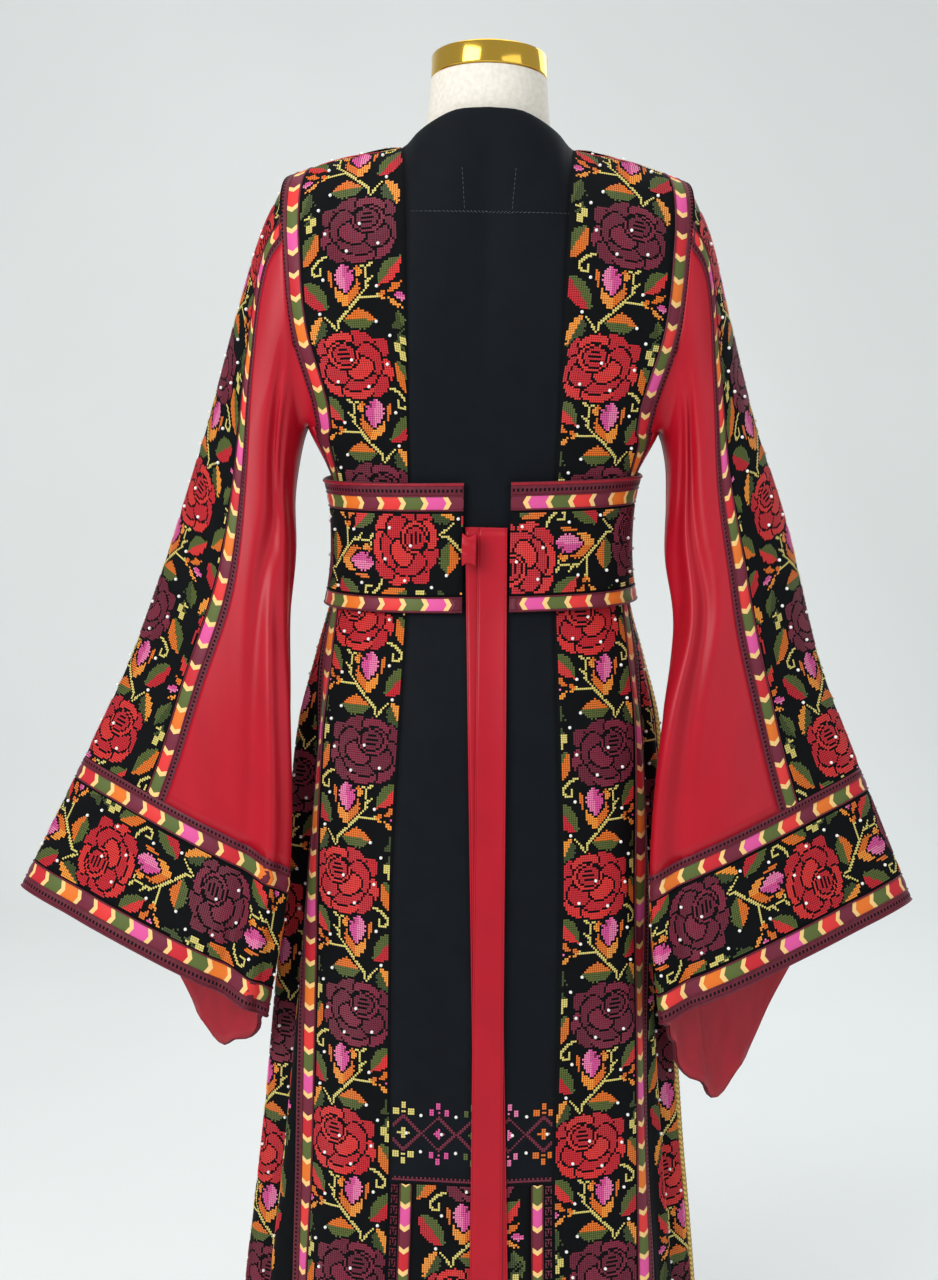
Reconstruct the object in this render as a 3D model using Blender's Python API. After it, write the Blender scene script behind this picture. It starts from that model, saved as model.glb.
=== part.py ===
"""Palestinian thobe dress on a limbless dress form.

Metres, +Z up. The floor is Z = 0, the wearer's back faces -Y and the wearer's right is +X. The origin is
the middle of the form's base, on the floor.

Every cloth piece is a thin wall cut out of a course surface: level lines of the garment (courses) that are
worked out from short tables. A piece names where it starts and ends along each course, so two pieces that
are sewn together share one line and keep one seam gap between them.
"""

import math
from collections import namedtuple

import bmesh
import bpy
from mathutils import Matrix, Vector

# Cloth
PANEL = 0.0018  # wall of an embroidered or plain panel
SATIN = 0.0012  # wall of a satin gore, tail or lining
SEAM = 0.0003  # gap between two pieces that are sewn together
ARMHOLE_GAP = 0.0058  # between the bodice and the first row of a sleeve, which turns a corner there
BORDER = 0.022  # width of the striped and dotted border beside a rose band
BRAID = 0.012  # width of the woven braid at the side of the skirt

# Levels
ARMPIT = 1.155
WAIST = 1.040
MOTIF_SEAM = 0.432  # where the embroidered lower back panel starts
HEM = 0.040
NECK_CORNER = 0.083  # half-width of the neck opening on the shoulder
SHOULDER_ROUND = 2.6  # how square the cloth turns over the shoulder
NECK_ROUND = 1.4  # the same at the middle of the neckline, where the cloth leans on the neck

# The garment's girth: half-width at the side, depth behind and in front, squareness of the oval, half-width
# of the plain centre panels, and width of the rose bands beside them.
Girth = namedtuple("Girth", "height half_width back front power centre_back centre_front band")
GIRTHS = [
    Girth(1.450, 0.222, 0.092, 0.090, 3.0, 0.083, 0.083, 0.095),
    Girth(1.330, 0.218, 0.101, 0.105, 3.0, 0.080, 0.081, 0.092),
    Girth(1.240, 0.207, 0.105, 0.124, 2.8, 0.075, 0.078, 0.090),
    Girth(ARMPIT, 0.175, 0.098, 0.126, 2.6, 0.071, 0.076, 0.088),
    Girth(1.100, 0.149, 0.092, 0.116, 2.5, 0.070, 0.075, 0.086),
    Girth(WAIST, 0.143, 0.090, 0.106, 2.5, 0.070, 0.074, 0.085),
    Girth(0.985, 0.149, 0.096, 0.110, 2.4, 0.071, 0.075, 0.086),
    Girth(0.930, 0.166, 0.111, 0.120, 2.4, 0.073, 0.077, 0.087),
    Girth(0.860, 0.186, 0.128, 0.132, 2.3, 0.076, 0.080, 0.088),
    Girth(0.740, 0.197, 0.142, 0.144, 2.3, 0.081, 0.083, 0.088),
    Girth(0.600, 0.207, 0.155, 0.155, 2.3, 0.081, 0.084, 0.088),
    Girth(MOTIF_SEAM, 0.221, 0.168, 0.166, 2.3, 0.080, 0.085, 0.089),
    Girth(0.320, 0.233, 0.180, 0.177, 2.3, 0.082, 0.087, 0.090),
    Girth(0.180, 0.247, 0.193, 0.190, 2.3, 0.084, 0.089, 0.091),
    Girth(HEM, 0.262, 0.206, 0.203, 2.3, 0.086, 0.091, 0.092),
]

# The top edge of the cloth from the middle outwards: round the neck, then along the shoulder.
Top = namedtuple("Top", "x back_z back_y front_z front_y")
TOPS = [
    Top(0.000, 1.4580, -0.068, 1.372, 0.078),
    Top(0.030, 1.4560, -0.063, 1.377, 0.073),
    Top(0.050, 1.4480, -0.052, 1.390, 0.060),
    Top(0.067, 1.4375, -0.034, 1.406, 0.039),
    Top(NECK_CORNER, 1.4250, 0.000, 1.425, 0.000),
    Top(0.140, 1.4140, 0.000, 1.414, 0.000),
    Top(0.191, 1.3970, 0.000, 1.397, 0.000),
]

# Turns of a course from the armpit level (0) to the top edge (1), and the armhole's half-width there.
Rise = namedtuple("Rise", "turn armhole")
RISES = [Rise(1.0, 0.190), Rise(0.84, 0.197), Rise(0.66, 0.199), Rise(0.45, 0.197), Rise(0.18, 0.187)]
ARMHOLE_FOOT = 0.162

# Soft folds of the skirt: side, place round the half-girth from the back, width, and depth inwards.
Fold = namedtuple("Fold", "side place width depth")
FOLDS = [
    Fold(1, 0.375, 0.014, 0.013),
    Fold(1, 0.455, 0.017, 0.019),
    Fold(1, 0.555, 0.015, 0.014),
    Fold(1, 0.640, 0.016, 0.011),
    Fold(-1, 0.365, 0.015, 0.015),
    Fold(-1, 0.470, 0.016, 0.016),
    Fold(-1, 0.545, 0.014, 0.018),
    Fold(-1, 0.650, 0.017, 0.010),
]
FOLDS_START, FOLDS_FULL = 0.985, 0.800

# A hanging sleeve, from the armhole down to the hem: its outer fold, its inner fold, its half-thickness at
# the back and the front, the half-width of the rose band on the outer fold, and how much nearer the body
# the right sleeve hangs.
SLEEVE_COLUMNS = "place outer_x outer_y outer_z inner_x inner_y inner_z back front band right_in"
Sleeve = namedtuple("Sleeve", SLEEVE_COLUMNS)
SLEEVES = [
    Sleeve(0, 0.191, 0.000, 1.397, 0.175, 0.000, 1.155, 0.066, 0.070, 0.068, 0.000),
    Sleeve(1, 0.217, 0.000, 1.349, 0.182, -0.010, 1.118, 0.060, 0.062, 0.050, 0.000),
    Sleeve(2, 0.242, -0.002, 1.270, 0.185, -0.026, 1.080, 0.052, 0.054, 0.071, 0.003),
    Sleeve(3, 0.268, -0.006, 1.172, 0.182, -0.048, 1.032, 0.046, 0.048, 0.085, 0.002),
    Sleeve(4, 0.302, -0.012, 1.058, 0.184, -0.074, 0.966, 0.042, 0.044, 0.095, -0.003),
    Sleeve(5, 0.345, -0.018, 0.932, 0.180, -0.098, 0.876, 0.040, 0.042, 0.095, 0.006),
    Sleeve(6, 0.395, -0.024, 0.821, 0.181, -0.110, 0.731, 0.040, 0.044, 0.105, 0.011),
    Sleeve(7, 0.460, -0.032, 0.687, 0.203, -0.118, 0.583, 0.044, 0.050, 0.112, 0.019),
]
CUFF_TOP = 6  # the course where the cuff starts
CUFF_COLUMNS = 28
CUFF_GAP = 0.0020  # between the sleeve's pieces and the cuff, whose edges bend in fewer places
LINING_REACH = 0.06, 0.99  # shares of the cuff's depth where its lining starts and ends
TOP_TRIM = 0.17  # share of the cuff's depth that its upper border takes
HEM_TRIM = 0.80  # and where its hem border starts
FRONT_DROP = {"right": 0.130, "left": 0.090}  # how much lower the front layer of the hem hangs
FRONT_FROM = {"right": 0.33, "left": 0.46}  # share of the way to the inner fold where it starts to drop
BACK_LIFT = 0.25  # rise of the hem's back layer, for each metre that it swells outwards

# The belt lies outside the waist, open at the centre back.
BELT_TOP, BELT_BOTTOM = 1.107, 0.983
BELT_TRIM = 0.027, 0.015  # depth of the upper and the lower border
BELT_LIFT = 0.0045
BELT_WALL = 0.0026
BELT_COLUMNS = 30
BELT_TILT = 0.030  # rise towards the wearer's right, for each metre across
BELT_END_RIGHT, BELT_END_LEFT = 0.0265, 0.0180  # the two ends, from the centre back

# The sash that ties the belt: knot and two tails down the back.
Tail = namedtuple("Tail", "name lift left_top right_top left_end right_end end")
TAILS = [
    Tail("sash_tail_under", 0.0018, -0.0165, 0.0130, 0.0085, 0.0400, 0.225),
    Tail("sash_tail_over", 0.0038, -0.0040, 0.0240, 0.0000, 0.0315, 0.205),
]
TAILS_DOWN = 0.043  # how far below the belt's top edge the tails start
KNOT_SIZE = 0.014, 0.012, 0.032
KNOT_PLACE = -0.0125, -0.1065, 1.0440

# The dress form under the cloth.
Body = namedtuple("Body", "height half_width back front power")
BODIES = [
    Body(0.800, 0.128, 0.080, 0.078, 2.2),
    Body(0.812, 0.146, 0.094, 0.090, 2.2),
    Body(0.880, 0.154, 0.104, 0.104, 2.2),
    Body(0.960, 0.139, 0.086, 0.096, 2.2),
    Body(1.040, 0.128, 0.077, 0.092, 2.2),
    Body(1.120, 0.136, 0.080, 0.106, 2.2),
    Body(1.200, 0.149, 0.088, 0.107, 2.2),
    Body(1.280, 0.163, 0.088, 0.088, 2.2),
    Body(1.340, 0.170, 0.077, 0.067, 2.2),
    Body(1.375, 0.156, 0.063, 0.052, 2.2),
    Body(1.396, 0.122, 0.056, 0.048, 2.1),
    Body(1.410, 0.086, 0.054, 0.047, 2.0),
    Body(1.428, 0.066, 0.054, 0.047, 2.0),
    Body(1.455, 0.0595, 0.0575, 0.050, 2.0),
    Body(1.489, 0.0565, 0.0555, 0.0500, 2.0),
]
BODY_SIDES = 32
CAP_RADIUS, CAP_HEIGHT, CAP_TILT, CAP_GAP = 0.0562, 0.0225, math.radians(11.0), 0.012
CAP_BEVEL = 0.0022
POLE_RADIUS = 0.0125
BASE_RADIUS, BASE_HEIGHT, BASE_BEVEL = 0.150, 0.012, 0.003
ROUND_SIDES = 48

SAMPLES = 120  # points that a course is worked out at
TINY = 1e-9
HALF_SEAMS = (SEAM / 2.0, SEAM / 2.0)
OVER_SHOULDER = Vector((0.0, 1.0, 0.0))


def clear_scene():
    for old in list(bpy.data.objects):
        bpy.data.objects.remove(old, do_unlink=True)


def material(name, color, roughness, metallic=0.0):
    made = bpy.data.materials.new(name)
    made.use_nodes = True
    shader = made.node_tree.nodes["Principled BSDF"]
    shader.inputs["Base Color"].default_value = (*color, 1.0)
    shader.inputs["Roughness"].default_value = roughness
    shader.inputs["Metallic"].default_value = metallic
    made.diffuse_color = (*color, 1.0)
    return made


def between(low, high, share):
    return low + (high - low) * share


def smooth_step(share):
    share = min(max(share, 0.0), 1.0)
    return share * share * (3.0 - 2.0 * share)


def read_table(rows, key, place):
    """The row of a table at a place between its rows, on smooth curves through every column."""
    keys = [getattr(row, key) for row in rows]
    if keys[0] > keys[-1]:
        rows, keys = rows[::-1], keys[::-1]
    place = min(max(place, keys[0]), keys[-1])
    upper = next(i for i in range(1, len(keys)) if place <= keys[i] + TINY)
    share = (place - keys[upper - 1]) / (keys[upper] - keys[upper - 1])
    return type(rows[0])(*(hermite(rows, keys, upper, column, share) for column in range(len(rows[0]))))


def hermite(rows, keys, upper, column, share):
    """A cubic between two neighbouring rows, whose slopes come from the rows on either side."""

    def slope(i):
        low, high = max(i - 1, 0), min(i + 1, len(keys) - 1)
        return (rows[high][column] - rows[low][column]) / (keys[high] - keys[low])

    step = keys[upper] - keys[upper - 1]
    start, end = rows[upper - 1][column], rows[upper][column]
    lift = share * share * (3.0 - 2.0 * share)
    leave = share * (1.0 - share) ** 2 * step * slope(upper - 1)
    arrive = share * share * (share - 1.0) * step * slope(upper)
    return start + (end - start) * lift + leave + arrive


def oval(share, power):
    """Depth of a superellipse of size 1 at a share of its half-width."""
    return max(1.0 - min(abs(share), 1.0) ** power, 0.0) ** (1.0 / power)


class Line:
    """A line of points that is read by the length along it. Past its ends it wraps if it is closed."""

    def __init__(self, points, closed=False):
        self.points = list(points) + ([points[0]] if closed else [])
        self.closed = closed
        self.lengths = [0.0]
        for a, b in zip(self.points, self.points[1:]):
            self.lengths.append(self.lengths[-1] + (b - a).length)
        self.total = self.lengths[-1]

    def at(self, length):
        if self.closed:
            length %= self.total
        length = min(max(length, 0.0), self.total)
        upper = next(i for i in range(1, len(self.lengths)) if length <= self.lengths[i] + TINY)
        low, high = self.lengths[upper - 1], self.lengths[upper]
        return self.points[upper - 1].lerp(self.points[upper], (length - low) / max(high - low, TINY))


class Course:
    """One level line of the garment: a line on each side, both from the same middle."""

    def __init__(self, right, left=None):
        self.right = Line(right)
        self.left = Line(left or [mirrored(point) for point in right])

    def at(self, length):
        return self.right.at(length) if length >= 0.0 else self.left.at(-length)

    def turned(self):
        """The same line measured from its far end, which is the centre front."""
        return Course(self.right.points[::-1], self.left.points[::-1])


def mirrored(point):
    return Vector((-point.x, point.y, point.z))


def folded(points, side, height):
    """A half-girth with the skirt's soft folds pressed into it."""
    ramp = smooth_step((FOLDS_START - height) / (FOLDS_START - FOLDS_FULL))
    if ramp <= 0.0:
        return points
    line = Line(points)
    pressed = []
    for point, length in zip(points, line.lengths):
        depth = sum(
            fold.depth * math.exp(-(((length - fold.place * line.total) / fold.width) ** 2))
            for fold in FOLDS
            if fold.side == side
        )
        inwards = Vector((-point.x, -point.y, 0.0)).normalized()
        pressed.append(point + inwards * depth * ramp)
    return pressed


def level_course(height):
    """The garment's whole half-girths at a height below the armpit, from centre back to centre front."""
    girth = read_table(GIRTHS, "height", height)
    right = []
    for step in range(SAMPLES + 1):
        angle = math.pi * step / SAMPLES
        depth = girth.back if angle <= math.pi / 2 else girth.front
        across = girth.half_width * math.sin(angle) ** (2.0 / girth.power)
        away = -math.copysign(abs(math.cos(angle)) ** (2.0 / girth.power), math.cos(angle)) * depth
        right.append(Vector((across, away, height)))
    left = [mirrored(point) for point in right]
    return Course(folded(right, 1, height), folded(left, -1, height))


def raised_course(rise, face):
    """A line across the back (face -1) or the chest (face 1) above the armpit, out to the armhole."""
    points = []
    for step in range(SAMPLES + 1):
        x = rise.armhole * step / SAMPLES
        points.append(raised_point(x, rise.turn, face))
    return Course(points)


def raised_point(x, turn, face):
    top = read_table(TOPS, "x", x)
    top_z, top_y = (top.back_z, top.back_y) if face < 0 else (top.front_z, top.front_y)
    if x >= NECK_CORNER:
        top_y = 0.0  # the shoulder seam is straight
    squareness = between(NECK_ROUND, SHOULDER_ROUND, min(x / NECK_CORNER, 1.0))
    angle = turn * math.pi / 2
    height = between(ARMPIT, top_z, math.sin(angle) ** (2.0 / squareness))
    girth = read_table(GIRTHS, "height", height)
    depth = girth.back if face < 0 else girth.front
    level_y = face * depth * oval(x / girth.half_width, girth.power)
    away = between(top_y, level_y, max(math.cos(angle), 0.0) ** (2.0 / squareness))
    return Vector((x, away, height))


def sleeve_course(place, side):
    """A closed line round a hanging sleeve, from the outer fold over the back to the inner fold and on."""
    if place <= 0.0:
        return Line(armhole_points(side), closed=True)
    row = read_table(SLEEVES, "place", place)
    nearer = row.right_in if side == "right" else 0.0
    outer = Vector((row.outer_x - nearer, row.outer_y, row.outer_z))
    inner = Vector((row.inner_x - nearer, row.inner_y, row.inner_z))
    low_down = smooth_step((place - 3.0) / (len(SLEEVES) - 4.0))
    drop, start = FRONT_DROP[side] * low_down, FRONT_FROM[side]
    points = []
    for step in range(SAMPLES):
        angle = 2.0 * math.pi * step / SAMPLES
        across = (1.0 - math.cos(angle)) / 2.0
        point = outer.lerp(inner, across)
        swell = abs(math.sin(angle)) ** 0.8
        point.y -= swell * row.back if angle < math.pi else -swell * row.front
        if angle > math.pi:
            point.z -= drop * smooth_step((angle - math.pi) / 1.1) * smooth_step((across - start) / 0.45)
        else:
            point.z += BACK_LIFT * low_down * swell * row.back
        points.append(point if side == "right" else mirrored(point))
    return Line(points, closed=True)


def armhole_points(side):
    """The armhole's edge: down the back from the shoulder, under the arm, and up the front."""
    turns = [*RISES, Rise(0.0, ARMHOLE_FOOT)]
    fine = [read_table(turns, "turn", 1.0 - step / 24.0) for step in range(25)]
    back = [raised_point(rise.armhole, rise.turn, -1) for rise in fine]
    front = [raised_point(rise.armhole, rise.turn, 1) for rise in fine]
    under = level_course(ARMPIT).right
    ends = [nearest_length(under, back[-1]), nearest_length(under, front[-1])]
    beneath = [under.at(between(*ends, step / 12.0)) for step in range(1, 12)]
    loop = back + beneath + front[:0:-1]
    return loop if side == "right" else [mirrored(point) for point in loop]


def nearest_length(line, point):
    closest = min(range(len(line.points)), key=lambda i: (line.points[i] - point).length)
    return line.lengths[closest]


def wall(
    name, rows, columns, thickness, finish, centre, lift=0.0, closed=False, gaps=HALF_SEAMS, ridge=None,
    beyond=(0, 0),
):
    """A cloth wall through rows of (line, start, end), read from the top of the piece to its bottom.

    Its outer face lies on the lines, moved out by lift, and its thickness goes inwards. centre(point) is a
    point inside the garment, which says which way is out. A gap of half a seam stays at each side, and gaps
    are those that stay at the first and the last row. ridge
    is the direction in which the cloth crosses its first row, where that row is a fold line. beyond is how
    many of the first and last rows only say how the cloth leans there, and are cut off.
    """
    half = 0.0 if closed else SEAM / 2.0
    spots = []
    for line, start, end in rows:
        inset = math.copysign(half, end - start)
        steps = range(columns if closed else columns + 1)
        spots.append([(line, between(start + inset, end - inset, step / columns)) for step in steps])
    grid = [[line.at(length) for line, length in row] for row in spots]
    normals = [
        [outward(grid, spots, i, j, centre, ridge) for j in range(len(grid[0]))] for i in range(len(grid))
    ]
    grid = grid[beyond[0] : len(grid) - beyond[1]]
    normals = normals[beyond[0] : len(normals) - beyond[1]]
    for j in range(len(grid[0])):
        first, last = grid[0][j].copy(), grid[-1][j].copy()
        grid[0][j] = first + (grid[1][j] - first).normalized() * gaps[0]
        grid[-1][j] = last + (grid[-2][j] - last).normalized() * gaps[1]

    mesh = bmesh.new()
    outer = [
        [mesh.verts.new(p + n * lift) for p, n in zip(*pair)] for pair in zip(grid, normals)
    ]
    inner = [
        [mesh.verts.new(p + n * (lift - thickness)) for p, n in zip(*pair)] for pair in zip(grid, normals)
    ]
    high, wide = len(grid) - 1, len(grid[0]) - (0 if closed else 1)
    across = len(grid[0])
    for i in range(high):
        for j in range(wide):
            k = (j + 1) % across
            mesh.faces.new((outer[i][j], outer[i][k], outer[i + 1][k], outer[i + 1][j]))
            mesh.faces.new((inner[i][j], inner[i + 1][j], inner[i + 1][k], inner[i][k]))
    for j in range(wide):
        k = (j + 1) % across
        mesh.faces.new((outer[0][j], inner[0][j], inner[0][k], outer[0][k]))
        mesh.faces.new((outer[high][j], outer[high][k], inner[high][k], inner[high][j]))
    if not closed:
        for i in range(high):
            mesh.faces.new((outer[i][0], outer[i + 1][0], inner[i + 1][0], inner[i][0]))
            mesh.faces.new((outer[i][wide], inner[i][wide], inner[i + 1][wide], outer[i + 1][wide]))
    bmesh.ops.recalc_face_normals(mesh, faces=mesh.faces)
    return place_mesh(name, mesh, finish)


def outward(grid, spots, i, j, centre, ridge):
    """The cloth's outward direction at a point of a wall."""
    line, length = spots[i][j]
    along = line.at(length + 0.004) - line.at(length - 0.004)
    down = grid[min(i + 1, len(grid) - 1)][j] - grid[max(i - 1, 0)][j]
    if ridge and i == 0:
        down = ridge
    normal = along.cross(down)
    if centre is body_centre and grid[i][j].z <= ARMPIT + TINY:
        normal.z = 0.0  # pieces that meet at a level seam lean the same way
    normal.normalize()
    return normal if normal.dot(grid[i][j] - centre(grid[i][j])) > 0.0 else -normal


def place_mesh(name, mesh, finish, smooth=True):
    data = bpy.data.meshes.new(name)
    mesh.to_mesh(data)
    mesh.free()
    data.materials.append(finish)
    if smooth:
        data.shade_smooth()
        data.set_sharp_from_angle(angle=math.radians(40.0))
    made = bpy.data.objects.new(name, data)
    bpy.context.scene.collection.objects.link(made)
    return made


def body_centre(point):
    return Vector((0.0, 0.0, min(point.z, 1.25)))


def side_name(side):
    return "right" if side > 0 else "left"


class Cut:
    """Where the seams of the dress run on each course, measured from the centre back or front."""

    def __init__(self, girth, half_length, braid=0.0):
        self.back = girth.centre_back
        self.back_band = self.back + girth.band
        self.back_border = self.back_band + BORDER
        self.front = half_length - girth.centre_front
        self.front_band = self.front - girth.band
        self.front_border = self.front_band - BORDER
        middle = between(self.back_border, self.front_border, 0.5)
        self.braid_back, self.braid_front = middle - braid / 2.0, middle + braid / 2.0


def build_bodice(black, rose, border, red):
    """The dress above the waist seam."""
    heights = [ARMPIT, 1.100, WAIST]
    levels = [level_course(height) for height in heights]
    cuts = [
        Cut(read_table(GIRTHS, "height", height), level.right.total)
        for height, level in zip(heights, levels)
    ]
    for face, word in ((-1, "back"), (1, "front")):
        raised = [raised_course(rise, face) for rise in RISES]
        seams = [neck_seam_length(rise, course, face) for rise, course in zip(RISES, raised)]
        fronts = [level.turned() for level in levels]
        below = levels if face < 0 else fronts
        if face < 0:
            inner = [cut.back for cut in cuts]
            middle = [cut.back_band for cut in cuts]
            outer = [cut.back_border for cut in cuts]
        else:
            totals = [level.right.total for level in levels]
            inner = [total - cut.front for total, cut in zip(totals, cuts)]
            middle = [total - cut.front_band for total, cut in zip(totals, cuts)]
            outer = [total - cut.front_border for total, cut in zip(totals, cuts)]
        armhole = [course.right.total for course in raised]
        inner = seams + inner
        middle = [length - BORDER for length in armhole] + middle
        outer = armhole + outer
        lines = raised + below
        centre = [(line, -seam, seam) for line, seam in zip(lines, inner)]
        wall(f"bodice_{word}_centre", centre, 6, PANEL, black, body_centre)
        for side in (1, -1):
            band = [(line, side * a, side * b) for line, a, b in zip(lines, inner, middle)]
            edge = [(line, side * a, side * b) for line, a, b in zip(lines, middle, outer)]
            where = side_name(side)
            for piece, rows, columns, finish in (("band", band, 4, rose), ("border", edge, 1, border)):
                name = f"bodice_{word}_{piece}_{where}"
                wall(name, rows, columns, PANEL, finish, body_centre, gaps=(SEAM, SEAM), ridge=OVER_SHOULDER)
    for side in (1, -1):
        spans = [(side * cut.back_border, side * cut.front_border) for cut in cuts]
        gusset = [(level, *span) for level, span in zip(levels, spans)]
        wall(f"bodice_gusset_{side_name(side)}", gusset, 4, SATIN, red, body_centre)


def neck_seam_length(rise, course, face):
    """How far along a raised course the seam between the centre panel and the rose band lies."""
    low = read_table(GIRTHS, "height", ARMPIT)
    foot = low.centre_back if face < 0 else low.centre_front
    seam_x = between(foot, NECK_CORNER, rise.turn)
    return nearest_length(course.right, raised_point(seam_x, rise.turn, face))


def build_skirt(black, rose, border, gold, embroidered):
    """The dress below the waist seam."""
    heights = [girth.height for girth in GIRTHS if girth.height <= WAIST]
    levels = [level_course(height) for height in heights]
    cuts = [
        Cut(read_table(GIRTHS, "height", height), level.right.total, BRAID)
        for height, level in zip(heights, levels)
    ]
    seam = heights.index(MOTIF_SEAM)
    back = [(level, -cut.back, cut.back) for level, cut in zip(levels, cuts)]
    wall("skirt_back_centre", back[: seam + 1], 6, PANEL, black, body_centre)
    lower = list(zip(levels, cuts))[seam:]
    panel = [(level, -(cut.back - BORDER), cut.back - BORDER) for level, cut in lower]
    wall("skirt_back_lower_panel", panel, 4, PANEL, embroidered, body_centre)
    fronts = [level.turned() for level in levels]
    spans = [level.right.total - cut.front for level, cut in zip(levels, cuts)]
    front = [(level, -span, span) for level, span in zip(fronts, spans)]
    wall("skirt_front_centre", front, 6, PANEL, black, body_centre)
    pieces = [
        ("skirt_back_band", "back", "back_band", 4, rose),
        ("skirt_back_border", "back_band", "back_border", 1, border),
        ("skirt_side_back", "back_border", "braid_back", 5, rose),
        ("skirt_braid", "braid_back", "braid_front", 1, gold),
        ("skirt_side_front", "braid_front", "front_border", 5, rose),
        ("skirt_front_border", "front_border", "front_band", 1, border),
        ("skirt_front_band", "front_band", "front", 4, rose),
    ]
    for side in (1, -1):
        where = side_name(side)
        edge = [(level, side * (cut.back - BORDER), side * cut.back) for level, cut in lower]
        wall(f"skirt_back_lower_border_{where}", edge, 1, PANEL, border, body_centre)
        for name, start, end, columns, finish in pieces:
            rows = [
                (level, side * getattr(cut, start), side * getattr(cut, end))
                for level, cut in zip(levels, cuts)
            ]
            wall(f"{name}_{where}", rows, columns, PANEL, finish, body_centre)


def build_sleeve(side, rose, border, red):
    """One hanging sleeve with its deep cuff."""
    places = [0.0, 0.5, 1.0, 1.5, 2.0, 3.0, 4.0, 5.0, CUFF_TOP, CUFF_TOP + TOP_TRIM]
    lines = [sleeve_course(place, side) for place in places]
    bands = [read_table(SLEEVES, "place", place).band for place in places]
    middles = [centre_of(line) for line in lines]

    def centre(point):
        distances = [(middle - point).length for middle in middles]
        return middles[distances.index(min(distances))]

    halves = [line.total / 2.0 for line in lines]
    pieces = [
        ("band", [(-band, band) for band in bands], 8, PANEL, rose),
        ("back_border", [(band, band + BORDER) for band in bands], 1, PANEL, border),
        ("back_gore", [(b + BORDER, h) for b, h in zip(bands, halves)], 6, SATIN, red),
        ("front_gore", [(h, 2 * h - b - BORDER) for b, h in zip(bands, halves)], 6, SATIN, red),
        ("front_border", [(-band - BORDER, -band) for band in bands], 1, PANEL, border),
    ]
    for word, spans, columns, thickness, finish in pieces:
        rows = [(line, *span) for line, span in zip(lines, spans)]
        name, gaps = f"sleeve_{side}_{word}", (ARMHOLE_GAP, CUFF_GAP)
        wall(name, rows, columns, thickness, finish, centre, gaps=gaps, beyond=(0, 1))
    build_cuff(side, rose, border, red)


def centre_of(line):
    return sum(line.points, Vector()) / len(line.points)


def same_centre(middle):
    """A centre for wall that is one point, whatever the place."""

    def centre(_point):
        return middle

    return centre


def build_cuff(side, rose, border, red):
    shares = {"top_border": (0.0, TOP_TRIM), "band": (TOP_TRIM, 0.5, HEM_TRIM), "hem_border": (HEM_TRIM, 1.0)}
    finishes = {"top_border": border, "band": rose, "hem_border": border}
    for word, places in shares.items():
        reach = (places[0] - TOP_TRIM, *places, places[-1] + TOP_TRIM)
        lines = [sleeve_course(CUFF_TOP + place, side) for place in reach]
        middle = centre_of(lines[0])
        rows = [(line, 0.0, line.total) for line in lines]
        gaps = (CUFF_GAP if word == "top_border" else SEAM, SEAM)
        name, centre = f"cuff_{side}_{word}", same_centre(middle)
        wall(name, rows, CUFF_COLUMNS, PANEL, finishes[word], centre, closed=True, gaps=gaps, beyond=(1, 1))
    lines = [sleeve_course(CUFF_TOP + place, side) for place in LINING_REACH]
    middle = centre_of(lines[0])
    rows = [(line, 0.0, line.total) for line in lines]
    gap = -(PANEL + 4 * SEAM)
    wall(f"cuff_{side}_lining", rows, CUFF_COLUMNS, SATIN, red, same_centre(middle), lift=gap, closed=True)


class BeltLine:
    """A course of the waist, tilted as the belt is, measured on round from the centre back."""

    def __init__(self, height):
        course = level_course(height)
        loop = course.right.points + course.left.points[-2:0:-1]
        tilted = [point + Vector((0.0, 0.0, BELT_TILT * point.x)) for point in loop]
        self.line = Line(tilted, closed=True)

    def at(self, length):
        return self.line.at(length)


def build_belt(rose, border):
    top, bottom = BELT_TOP - BELT_TRIM[0], BELT_BOTTOM + BELT_TRIM[1]
    bands = {
        "belt_top_border": ((BELT_TOP, top), border),
        "belt_band": ((top, between(top, bottom, 0.5), bottom), rose),
        "belt_bottom_border": ((bottom, BELT_BOTTOM), border),
    }
    for name, (heights, finish) in bands.items():
        lines = [BeltLine(height) for height in heights]
        rows = [(line, BELT_END_RIGHT, line.line.total - BELT_END_LEFT) for line in lines]
        wall(name, rows, BELT_COLUMNS, BELT_WALL, finish, body_centre, lift=BELT_LIFT + BELT_WALL)


def build_sash(red):
    for tail in TAILS:
        top = BELT_TOP - TAILS_DOWN
        heights = [top, WAIST] + [g.height for g in GIRTHS if tail.end < g.height < WAIST] + [tail.end]
        rows = []
        for height in heights:
            share = (top - height) / (top - tail.end)
            left = between(tail.left_top, tail.left_end, share)
            right = between(tail.right_top, tail.right_end, share)
            rows.append((level_course(height), left, right))
        wall(tail.name, rows, 2, SATIN, red, body_centre, lift=tail.lift + SATIN)
    mesh = bmesh.new()
    bmesh.ops.create_cube(mesh, size=1.0)
    bmesh.ops.scale(mesh, vec=KNOT_SIZE, verts=mesh.verts)
    bmesh.ops.bevel(
        mesh, geom=mesh.edges[:], offset=0.005, affect="EDGES", segments=2, profile=0.5, material=-1
    )
    bmesh.ops.translate(mesh, vec=KNOT_PLACE, verts=mesh.verts)
    place_mesh("sash_knot", mesh, red)


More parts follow.
